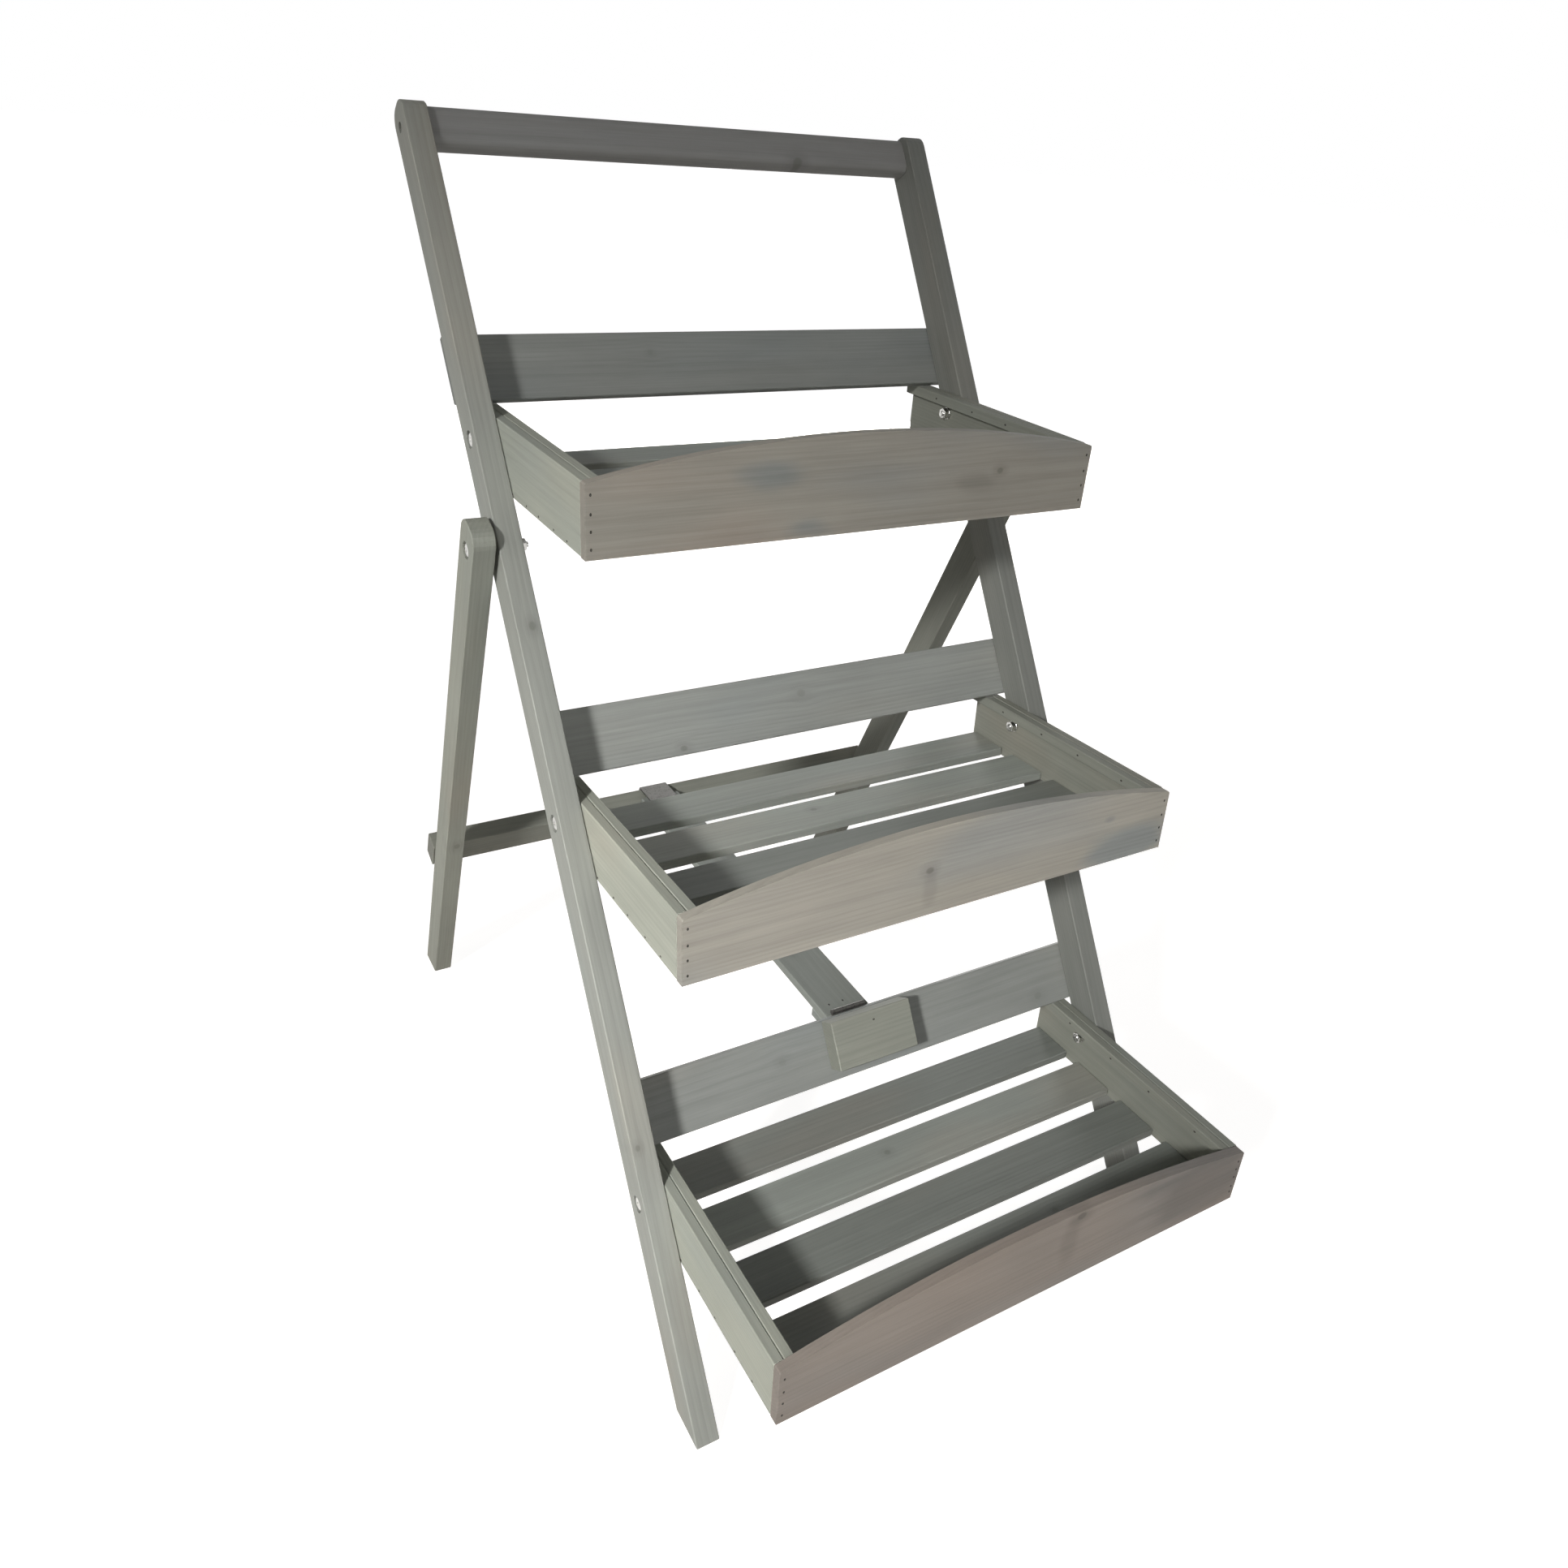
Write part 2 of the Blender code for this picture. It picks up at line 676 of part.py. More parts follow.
def hinge_leaf(name, frame, axis, near, far, knuckles):
    """One leaf of the hinge: a plate that hangs from its knuckles on the hinge's axis."""
    back, up = axis
    mesh, middle = box_mesh(
        name,
        (STAY_ASIDE - HINGE_WIDE / 2, back + near, up - BARREL_RADIUS - LEAF_HIGH),
        (STAY_ASIDE + HINGE_WIDE / 2, back + far, up - BARREL_RADIUS - TOUCH),
    )
    leaf = add_piece(name, mesh, frame, middle, METAL["hinge"])
    for index in knuckles:
        start, end = knuckle_span(index)
        knuckle_name = f"{name}_knuckle_{index + 1}"
        join(leaf, hinge_rod(knuckle_name, frame, axis, BARREL_RADIUS, start, end))
        web_name = knuckle_name + "_web"
        web_low = up - BARREL_RADIUS - 2 * TOUCH
        mesh, middle = box_mesh(web_name, (start, back + near, web_low), (end, back + far, up))
        join(leaf, hide_as_cutter(add_piece(web_name, mesh, frame, middle, None)))
    return leaf


def stay_hinge():
    """The butt hinge between the bottom board and the stay. Its pin is fast in the board's leaf."""
    near, far = KNUCKLE_GAP / 2, KNUCKLE_GAP / 2 + LEAF_THICK
    left, right = STAY_ASIDE - HINGE_WIDE / 2, STAY_ASIDE + HINGE_WIDE / 2
    axis = (HINGE_BACK, HINGE_UP)
    board_leaf = hinge_leaf("hinge_board_leaf", FRONT_FRAME, axis, -far, -near, range(0, KNUCKLES, 2))
    pin_ends = (left + KNUCKLE_GAP, right - KNUCKLE_GAP)
    join(board_leaf, hinge_rod("hinge_pin_shape", FRONT_FRAME, axis, PIN_THICK / 2, *pin_ends))
    leaf_frame = add_frame("stay_leaf_frame", STAY_FRAME, (0, 0, 0), -LEAN - stay_slope())
    stay_leaf = hinge_leaf("hinge_stay_leaf", leaf_frame, (0, 0), near, far, range(1, KNUCKLES, 2))
    cut(stay_leaf, hinge_rod("hinge_bore", leaf_frame, (0, 0), bore_radius(PIN_THICK), left, right))


clear_scene()
PIECES = add_collection("folding_plant_stand")
CUTTERS = add_collection("cutters")
WOOD = {
    "stile": make_material("stained wood, stiles", (0.17, 0.18, 0.155), 0.75),
    "rail": make_material("stained wood, rail", (0.125, 0.13, 0.125), 0.75),
    "board": make_material("stained wood, boards", (0.15, 0.165, 0.155), 0.75),
    "side": make_material("stained wood, tray sides", (0.175, 0.185, 0.155), 0.75),
    "front": make_material("stained wood, tray fronts", (0.23, 0.22, 0.19), 0.75),
    "slat": make_material("stained wood, slats", (0.16, 0.175, 0.155), 0.75),
    "leg": make_material("stained wood, rear legs", (0.165, 0.17, 0.145), 0.75),
}
METAL = {
    "zinc": make_material("zinc plate", (0.55, 0.55, 0.54), 0.35, 1.0),
    "hinge": make_material("dull steel", (0.2, 0.2, 0.19), 0.5, 1.0),
}

STAND = add_frame("stand", None, (0, -stand_middle(), 0), 0)
FRONT_FRAME = add_frame("front_frame", STAND, (0, 0, 0), -LEAN)
REAR_FRAME = add_frame("rear_frame", FRONT_FRAME, (0, 0, LEG_BOLT_UP), LEAN + LEG_BACK)
STAY_FRAME = add_frame("stay_frame", FRONT_FRAME, (0, HINGE_BACK, HINGE_UP), LEAN + stay_slope())

SIDES = (("left", -1), ("right", 1))
TRAY_BOLT = bolt_mesh(
    "tray_bolt",
    SIDE_INSIDE - TOUCH - WASHER_THICK - NUT_HIGH - BOLT_END,
    HALF_FRAME - RECESS_DEEP + TOUCH,
)
LEG_BOLT = bolt_mesh(
    "leg_bolt",
    STILE_INSIDE - TOUCH - WASHER_THICK - NUT_HIGH - BOLT_END,
    LEG_OUTSIDE - RECESS_DEEP + TOUCH,
)
NUT = nut_mesh("nut_and_washer")

for side_name, side in SIDES:
    stile(side_name, side)
    rear_leg(side_name, side)
    fasten(side_name + "_leg", side, LEG_BOLT_UP, LEG_BOLT, NUT, STILE_INSIDE - TOUCH)
    for tier in TIERS:
        fasten(f"{tier}_{side_name}", side, TRAY_BOLT_UP[tier], TRAY_BOLT, NUT, SIDE_INSIDE - TOUCH)
top_rail()
rear_crossbar()
for tier in TIERS:
    back_board(tier)
    tray_frame = add_frame(
        tier + "_tray_frame", FRONT_FRAME, (0, 0, TRAY_BOLT_UP[tier]), LEAN - TRAY_SLOPE[tier]
    )
    for side_name, side in SIDES:
        tray_side(tier, side_name, side, tray_frame)
    tray_front(tier, tray_frame)
    tray_slats(tier, tray_frame)
stay()
stay_hook()
stay_block()
stay_hinge()
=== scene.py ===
"""Looks of a folding plant stand of grey stained softwood, in a plain studio.

The stand's solids are loaded as a fixed frame. This script gives each piece of wood a stained grain of
its own that runs along the piece, replaces the bolts, nuts and top rail with finer ones, and adds the
nails and screws. Metres, +Z up, the arched fronts of the trays face -Y.
"""

from __future__ import annotations

import json
import logging
from collections.abc import Iterable, Sequence
from dataclasses import dataclass, field
from enum import Enum
from math import cos, pi, radians, sin, tan

import bmesh
import bpy
from mathutils import Matrix, Vector

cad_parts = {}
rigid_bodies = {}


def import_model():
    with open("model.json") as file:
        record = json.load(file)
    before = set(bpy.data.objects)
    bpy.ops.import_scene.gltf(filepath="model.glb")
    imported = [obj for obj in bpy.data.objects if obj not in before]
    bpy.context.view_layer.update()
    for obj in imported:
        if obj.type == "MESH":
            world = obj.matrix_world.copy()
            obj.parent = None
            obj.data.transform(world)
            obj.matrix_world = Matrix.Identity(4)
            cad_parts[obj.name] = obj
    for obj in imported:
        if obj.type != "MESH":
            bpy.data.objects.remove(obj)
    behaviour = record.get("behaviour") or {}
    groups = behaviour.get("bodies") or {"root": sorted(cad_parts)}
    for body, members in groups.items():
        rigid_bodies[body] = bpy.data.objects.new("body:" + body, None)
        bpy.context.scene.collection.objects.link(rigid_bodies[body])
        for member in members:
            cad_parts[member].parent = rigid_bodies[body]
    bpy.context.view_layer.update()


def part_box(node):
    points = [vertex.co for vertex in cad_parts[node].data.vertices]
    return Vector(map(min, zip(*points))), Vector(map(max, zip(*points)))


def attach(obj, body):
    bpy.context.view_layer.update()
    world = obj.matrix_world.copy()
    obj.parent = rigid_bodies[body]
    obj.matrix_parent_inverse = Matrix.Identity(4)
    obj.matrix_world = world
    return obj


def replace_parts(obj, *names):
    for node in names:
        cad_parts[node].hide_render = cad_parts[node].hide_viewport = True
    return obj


LOG = logging.getLogger("plant_stand")
MM = 0.001
SHARP_FROM = radians(34)

Colour = tuple[float, float, float]
Place = tuple[float, float, float]
Span = tuple[float, float]
WHITE: Colour = (1.0, 1.0, 1.0)


class Side(Enum):
    """The two sides of the stand, as the sign of X."""

    LEFT = -1
    RIGHT = 1

    @property
    def word(self) -> str:
        """The side's name as it stands in the names of the pieces."""
        return self.name.lower()

    def share(self, difference: float) -> float:
        """How light a piece on this side is painted, where the left one is lighter by a difference and the
        right one darker: painted light from the lamps on the left, falling off to the right.
        """
        return 1.0 - self.value * difference


class Cut(Enum):
    """How a piece of wood lies in its frame: the axes along the grain, across its face and through it."""

    UPRIGHT = ((0, 0, 1), (1, 0, 0), (0, 1, 0))
    BOARD_ON_EDGE = ((1, 0, 0), (0, 0, 1), (0, -1, 0))
    SIDE_ON_EDGE = ((0, 1, 0), (0, 0, 1), (1, 0, 0))
    SLAT_LAID_FLAT = ((1, 0, 0), (0, 1, 0), (0, 0, 1))
    LATH_LAID_FLAT = ((0, 1, 0), (-1, 0, 0), (0, 0, 1))

    def axes(self) -> Matrix:
        """The three axes as the columns of a rotation."""
        return Matrix(self.value).transposed()


class Carving(Enum):
    """What is kept of a mesh that another one carves, as Blender names it."""

    OUTSIDE = "DIFFERENCE"
    INSIDE = "INTERSECT"


@dataclass(frozen=True)
class JoinersFrame:
    """A frame that a group of pieces is square with.

    Attributes:
        origin: The frame's origin in the stand's axes.
        turn_deg: The frame's turn about X, in degrees.
    """

    origin: Place
    turn_deg: float

    def rotation(self) -> Matrix:
        """The frame's turn as a 3 x 3 matrix."""
        return Matrix.Rotation(radians(self.turn_deg), 3, "X")

    def matrix(self) -> Matrix:
        """The frame's place and turn as a 4 x 4 matrix."""
        return Matrix.Translation(self.origin) @ self.rotation().to_4x4()


@dataclass(frozen=True)
class Knot:
    """A knot that runs through a board.

    Attributes:
        along: Its place along the grain, from the middle of the piece.
        across: Its place across the face, from the middle of the piece.
        wide: Its width across the grain.
        dark: How much darker than the wood its heart is, from 0 to 1.
    """

    along: float
    across: float
    wide: float
    dark: float = 0.35


@dataclass(frozen=True)
class Blot:
    """A soft darker or paler patch: where the stain lies thicker or thinner, and on the bottom front also
    painted light and shade.

    Attributes:
        along: Its place along the grain, from the middle of the piece.
        across: Its place across the face, from the middle of the piece.
        long: Its length along the grain.
        wide: Its width across the grain.
        dark: How much darker it is than the wood round it. Below 0 it is paler.
        cool: How far its colour goes to the thick stain's.
    """

    along: float
    across: float
    long: float
    wide: float
    dark: float
    cool: float = 0.0


class ShaderGraph:
    """Adds nodes to a material or a world and links them, so that a finish reads as a calculation."""

    def __init__(self, owner: bpy.types.Material | bpy.types.World) -> None:
        """Starts on the nodes that a material or a world has of its own.

        Args:
            owner: The material or world whose nodes are built.
        """
        owner.use_nodes = True
        self.tree = owner.node_tree
        own_shader = "Background" if isinstance(owner, bpy.types.World) else "Principled BSDF"
        self.shader = self.tree.nodes[own_shader]

    def feed(self, socket: bpy.types.NodeSocket, value: object) -> None:
        """Links a socket to another, or sets it to a plain value.

        Args:
            socket: The input socket.
            value: An output socket, a number or a vector.
        """
        if isinstance(value, bpy.types.NodeSocket):
            self.tree.links.new(value, socket)
        else:
            socket.default_value = value

    def surface(self, inputs: dict[str, object]) -> None:
        """Feeds the shader's own sockets.

        Args:
            inputs: What each is fed with, by its name.
        """
        for name, value in inputs.items():
            self.feed(self.shader.inputs[name], value)

    def node(
        self, kind: str, inputs: dict[int | str, object] | None = None, **settings: object
    ) -> bpy.types.Node:
        """Adds a node.

        Args:
            kind: The node's type, without its prefix.
            inputs: What its sockets are fed with, by name or number.
            **settings: The node's own settings.

        Returns:
            The node.
        """
        made = self.tree.nodes.new("ShaderNode" + kind)
        for key, value in settings.items():
            setattr(made, key, value)
        for key, value in (inputs or {}).items():
            self.feed(made.inputs[key], value)
        return made

    def math(self, operation: str, *values: object) -> bpy.types.NodeSocket:
        """A sum on numbers.

        Args:
            operation: The name of the operation.
            *values: Its inputs, in order.

        Returns:
            The result's socket.
        """
        return self.node("Math", dict(enumerate(values)), operation=operation).outputs[0]

    def plus(self, value: object, share: float, extra: object) -> bpy.types.NodeSocket:
        """A number with a share of another one added to it.

        Args:
            value: The number.
            share: How much of the other one is added.
            extra: The other one.

        Returns:
            The result's socket.
        """
        return self.math("ADD", value, self.math("MULTIPLY", extra, share))

    def vector(self, operation: str, *values: object, output: str = "Vector") -> bpy.types.NodeSocket:
        """A sum on vectors.

        Args:
            operation: The name of the operation.
            *values: Its inputs, in order.
            output: Which result is wanted.

        Returns:
            The result's socket.
        """
        return self.node("VectorMath", dict(enumerate(values)), operation=operation).outputs[output]

    def ramp(
        self, value: object, low: float, high: float, to_low: object = 0.0, to_high: object = 1.0
    ) -> bpy.types.NodeSocket:
        """A smooth step of a number between two others.

        Args:
            value: The number.
            low: Where the step starts.
            high: Where it ends.
            to_low: The result before the step.
            to_high: The result after it.

        Returns:
            The result's socket.
        """
        inputs = {"Value": value, "From Min": low, "From Max": high, "To Min": to_low, "To Max": to_high}
        return self.node("MapRange", inputs, interpolation_type="SMOOTHSTEP").outputs["Result"]

    def noise(
        self, place: object, waves: Place, detail: float = 2.0, roughness: float = 0.5
    ) -> bpy.types.NodeSocket:
        """Noise about zero at a place.

        Args:
            place: The place.
            waves: How many waves there are to a metre, on each axis.
            detail: How many finer layers it has.
            roughness: How strong the finer layers are.

        Returns:
            The noise's socket.
        """
        scaled = self.vector("MULTIPLY", place, waves)
        inputs = {"Vector": scaled, "Scale": 1.0, "Detail": detail, "Roughness": roughness}
        made = self.node("TexNoise", inputs, noise_dimensions="3D")
        return self.math("SUBTRACT", made.outputs[0], 0.5)

    def blend(self, share: object, first: object, second: object) -> bpy.types.NodeSocket:
        """A mix of two colours.

        Args:
            share: How much of the second is in the mix.
            first: The first colour.
            second: The second colour.

        Returns:
            The mix's socket.
        """
        made = self.node("Mix", data_type="RGBA", blend_type="MIX", clamp_factor=True)
        for index, value in ((0, share), (6, first), (7, second)):
            self.feed(made.inputs[index], value)
        return made.outputs[2]


def rgba(colour: Colour) -> tuple[float, float, float, float]:
    """An opaque colour."""
    return (*colour, 1.0)


def coat(piece: bpy.types.Object, material: bpy.types.Material) -> None:
    """Gives a piece one material in place of those it has."""
    piece.data.materials.clear()
    piece.data.materials.append(material)


@dataclass(frozen=True)
class StainedWood:
    """Sawn softwood under a thin matt grey stain.

    The waves are those to a metre along the grain, across the face and through the piece. A share is how
    much the named thing lightens or darkens the colour.

    Attributes:
        stain: The colour of an even patch.
        cool: The colour where the stain lies thickest.
        warm: The colour where the bare wood shows through.
        blot: The colour of a cool blot.
        knot: The colour of a knot's heart.
        seed_step: How far a piece's seed moves its grain.
        knot_long: How much longer than wide a knot is.
        knot_hold: How soon the grain straightens away from a knot.
        heart_edge: Where a knot's heart starts and is full, in half widths of the knot.
        halo_edge: Where its dark halo starts and is full.
        halo_share: The share of the halo.
        ring_wide: The width of a year's growth.
        ring_share: The share of the late wood in a ring.
        ring_wander: How far the rings wander.
        ring_waves: The waves in which they wander.
        pith_aside: How far to the side of a piece the tree's pith can be.
        pith_behind: How far behind a piece it is on average.
        pith_varies: How much that varies.
        late_start: Where in a ring the late wood starts and is full.
        late_stop: Where in a ring it stops and is still full.
        fibre_waves: The waves of the fibres.
        fibre_share: The share of the fibres.
        streak_waves: The waves of the long streaks.
        streak_share: The share of the streaks.
        cloud_waves: The waves of the clouds in the brushed stain.
        cloud_share: The share of the clouds.
        patch_waves: The waves of the patches of thick and thin stain.
        thick_from: Where in their noise the thick stain starts and is full.
        thin_from: Where in it the thin stain starts and is full.
        blot_fray: How ragged a blot's edge is.
        blot_edge: Where a blot starts and is full, in half widths of the blot.
        wear_share: The share of the rubbed arrises.
        wear_wide: How far from an arris the wear reaches.
        wear_full: How near to it the wear is full.
        wear_from: Where in the stain's noise the wear starts and is full.
        end_share: The share of the ends, where the stain soaks in.
        end_from: How squarely a face looks along the grain where it starts and is fully an end.
        rough: The surface's roughness on average.
        rough_share: How much the fibres vary it.
        fibre_relief: How much the fibres stand out.
        ring_relief: How much the late wood stands out.
        relief_high: The height of that relief.
        relief_strength: How strong it looks.
    """

    stain: Colour = (0.262, 0.272, 0.245)
    cool: Colour = (0.236, 0.256, 0.238)
    warm: Colour = (0.290, 0.278, 0.240)
    blot: Colour = (0.225, 0.250, 0.250)
    knot: Colour = (0.060, 0.052, 0.042)
    seed_step: Place = (0.71, 0.37, 0.53)
    knot_long: float = 1.3
    knot_hold: float = 0.22
    heart_edge: Span = (1.15, 0.55)
    halo_edge: Span = (3.4, 1.0)
    halo_share: float = 0.35
    ring_wide: float = 3.4 * MM
    ring_share: float = 0.06
    ring_wander: float = 22.0 * MM
    ring_waves: Place = (1.6, 9.0, 9.0)
    pith_aside: float = 26.0 * MM
    pith_behind: float = 34.0 * MM
    pith_varies: float = 22.0 * MM
    late_start: Span = (0.25, 0.86)
    late_stop: Span = (1.0, 0.9)
    fibre_waves: Place = (14.0, 620.0, 620.0)
    fibre_share: float = 0.34
    streak_waves: Place = (3.0, 110.0, 110.0)
    streak_share: float = 0.23
    cloud_waves: Place = (7.0, 24.0, 24.0)
    cloud_share: float = 0.34
    patch_waves: Place = (3.1, 9.0, 9.0)
    thick_from: Span = (0.02, 0.24)
    thin_from: Span = (-0.02, -0.26)
    blot_fray: float = 2.2
    blot_edge: Span = (1.2, 0.3)
    wear_share: float = 0.14
    wear_wide: float = 1.8 * MM
    wear_full: float = 0.3 * MM
    wear_from: Span = (-0.16, 0.22)
    end_share: float = 0.16
    end_from: Span = (0.75, 0.95)
    rough: float = 0.72
    rough_share: float = 0.22
    fibre_relief: float = 0.8
    ring_relief: float = -0.25
    relief_high: float = 0.25 * MM
    relief_strength: float = 0.35

    def material(self, name: str, timber: Timber) -> bpy.types.Material:
        """Makes the material of one piece of wood.

        Args:
            name: The material's name.
            timber: The piece, which gives the grain's direction, its knots and its own seed.

        Returns:
            The material.
        """
        made = bpy.data.materials.new(name)
        graph = ShaderGraph(made)
        place = self.place_in_piece(graph, timber)
        seed = timber.seed
        shifted = graph.vector("ADD", place, tuple(step * seed for step in self.seed_step))

        split = graph.node("SeparateXYZ", {0: place})
        across, through = split.outputs[1], split.outputs[2]
        heart, halo = 0.0, 0.0
        for knot in timber.knots:
            near, reach, off = self.knot_reach(graph, split, knot)
            across = graph.math("SUBTRACT", across, graph.math("MULTIPLY", off, reach))
            heart = graph.math("MAXIMUM", heart, graph.ramp(near, *self.heart_edge, 0.0, knot.dark))
            halo = graph.math("MAXIMUM", halo, graph.ramp(near, *self.halo_edge, 0.0, knot.dark))

        rings = self.growth_rings(graph, shifted, across, through, seed)
        fibre = graph.noise(shifted, self.fibre_waves, 3.0, 0.65)
        streak = graph.noise(shifted, self.streak_waves, 3.0, 0.55)
        cloud = graph.noise(shifted, self.cloud_waves, 3.0, 0.55)
        patch = graph.noise(shifted, self.patch_waves)
        level = 1.0
        for share, extra in (
            (self.fibre_share, fibre),
            (self.streak_share, streak),
            (self.cloud_share, cloud),
            (-self.ring_share, rings),
            (-self.halo_share, halo),
        ):
            level = graph.plus(level, share, extra)
        # The piece's own tone, together with painted light and shade on pieces lit more or less.
        level = graph.math("MULTIPLY", level, timber.lightness)

        colour = graph.blend(graph.ramp(patch, *self.thick_from), rgba(self.stain), rgba(self.cool))
        colour = graph.blend(graph.ramp(patch, *self.thin_from), colour, rgba(self.warm))
        for blot in timber.blots:
            spread = self.blot_spread(graph, split, blot, cloud)
            level = graph.math("MULTIPLY", level, graph.plus(1.0, -blot.dark, spread))
            if blot.cool:
                colour = graph.blend(graph.math("MULTIPLY", spread, blot.cool), colour, rgba(self.blot))

        sawn = graph.ramp(self.end_face(graph, timber), *self.end_from, 0.0, self.end_share)
        level = graph.math("MULTIPLY", level, graph.math("SUBTRACT", 1.0, sawn))
        worn = graph.ramp(self.arris_distance(graph, split, timber), self.wear_wide, self.wear_full)
        rubbed = graph.ramp(graph.math("ADD", cloud, streak), *self.wear_from)
        worn = graph.math("MULTIPLY", worn, rubbed)
        level = graph.math("MULTIPLY", level, graph.plus(1.0, self.wear_share, worn))
        grey = graph.node("CombineXYZ", {0: level, 1: level, 2: level}).outputs[0]
        colour = graph.vector("MULTIPLY", colour, grey)

        height = graph.plus(graph.math("MULTIPLY", fibre, self.fibre_relief), self.ring_relief, rings)
        relief = {"Strength": self.relief_strength, "Distance": self.relief_high, "Height": height}
        graph.surface({
            "Base Color": graph.blend(heart, colour, rgba(self.knot)),
            "Roughness": graph.plus(self.rough, self.rough_share, fibre),
            "Normal": graph.node("Bump", relief).outputs[0],
        })
        return made

    @staticmethod
    def place_in_piece(graph: ShaderGraph, timber: Timber) -> bpy.types.NodeSocket:
        """The place on a piece, along its grain, across its face and through it, from its middle.

        Args:
            graph: The graph to build in.
            timber: The piece of wood.

        Returns:
            The place's socket.
        """
        source = graph.node("TexCoord").outputs["Object"]
        turn = timber.axes.to_euler()
        inputs = {"Vector": source, "Location": timber.middle, "Rotation": turn}
        return graph.node("Mapping", inputs, vector_type="TEXTURE").outputs[0]

    def knot_reach(
        self, graph: ShaderGraph, split: bpy.types.Node, knot: Knot
    ) -> tuple[bpy.types.NodeSocket, bpy.types.NodeSocket, bpy.types.NodeSocket]:
        """How near a place is to a knot, and how far the knot pushes the grain aside there.

        Args:
            graph: The graph to build in.
            split: The node that gives the place's parts.
            knot: The knot.

        Returns:
            The distance in half widths of the knot, the share of the push, and the place across from
            the knot.
        """
        along = graph.math("SUBTRACT", split.outputs[0], knot.along)
        off = graph.math("SUBTRACT", split.outputs[1], knot.across)
        far_along = graph.math("DIVIDE", along, self.knot_long * knot.wide / 2)
        far_off = graph.math("DIVIDE", off, knot.wide / 2)
        square = graph.math("ADD", graph.math("POWER", far_along, 2.0), graph.math("POWER", far_off, 2.0))
        near = graph.math("SQRT", square)
        reach = graph.math("DIVIDE", 1.0, graph.plus(1.0, self.knot_hold, square))
        return near, reach, off

    def blot_spread(
        self, graph: ShaderGraph, split: bpy.types.Node, blot: Blot, cloud: bpy.types.NodeSocket
    ) -> bpy.types.NodeSocket:
        """How much of a blot a place has, with a ragged edge.

        Args:
            graph: The graph to build in.
            split: The node that gives the place's parts.
            blot: The blot.
            cloud: The stain's own noise, which frays the edge.

        Returns:
            1 at its middle and 0 outside it.
        """
        far = []
        for index, middle, size in ((0, blot.along, blot.long), (1, blot.across, blot.wide)):
            off = graph.math("DIVIDE", graph.math("SUBTRACT", split.outputs[index], middle), size / 2)
            far.append(graph.math("POWER", off, 2.0))
        away = graph.math("SQRT", graph.math("ADD", *far))
        return graph.ramp(graph.plus(away, self.blot_fray, cloud), *self.blot_edge)

    def growth_rings(
        self,
        graph: ShaderGraph,
        shifted: bpy.types.NodeSocket,
        across: bpy.types.NodeSocket,
        through: bpy.types.NodeSocket,
        seed: float,
    ) -> bpy.types.NodeSocket:
        """The late wood of the growth rings, which circle the tree's pith somewhere behind the piece.

        Args:
            graph: The graph to build in.
            shifted: The place, moved by the piece's seed.
            across: The place across the face, pushed aside by the knots.
            through: The place through the piece.
            seed: The piece's seed.

        Returns:
            How late the wood is, from 0 to 1.
        """
        across = graph.plus(across, self.ring_wander, graph.noise(shifted, self.ring_waves))
        aside = self.pith_aside * sin(2.4 * seed)
        behind = self.pith_behind + self.pith_varies * cos(1.7 * seed)
        first = graph.math("POWER", graph.math("SUBTRACT", across, aside), 2.0)
        second = graph.math("POWER", graph.math("ADD", through, behind), 2.0)
        radius = graph.math("SQRT", graph.math("ADD", first, second))
        phase = graph.math("FRACT", graph.math("DIVIDE", radius, self.ring_wide))
        late = graph.ramp(phase, *self.late_start)
        return graph.math("MULTIPLY", late, graph.ramp(phase, *self.late_stop))

    @staticmethod
    def end_face(graph: ShaderGraph, timber: Timber) -> bpy.types.NodeSocket:
        """How squarely a face looks along the grain.

        Args:
            graph: The graph to build in.
            timber: The piece of wood.

        Returns:
            1 on a sawn end and 0 on a long face.
        """
        normal = graph.node("TexCoord").outputs["Normal"]
        along = tuple(timber.axes.col[0])
        return graph.math("ABSOLUTE", graph.vector("DOT_PRODUCT", normal, along, output="Value"))

    @staticmethod
    def arris_distance(graph: ShaderGraph, split: bpy.types.Node, timber: Timber) -> bpy.types.NodeSocket:
        """The distance of a place on a squared piece to its nearest arris.

        Args:
            graph: The graph to build in.
            split: The node that gives the place's parts.
            timber: The piece of wood.

        Returns:
            The distance's socket, in metres.
        """
        depths = [
            graph.math("SUBTRACT", half, graph.math("ABSOLUTE", split.outputs[index]))
            for index, half in enumerate(timber.half)
        ]
        low = graph.math("MINIMUM", depths[0], depths[1])
        high = graph.math("MAXIMUM", depths[0], depths[1])
        return graph.math("MAXIMUM", low, graph.math("MINIMUM", high, depths[2]))


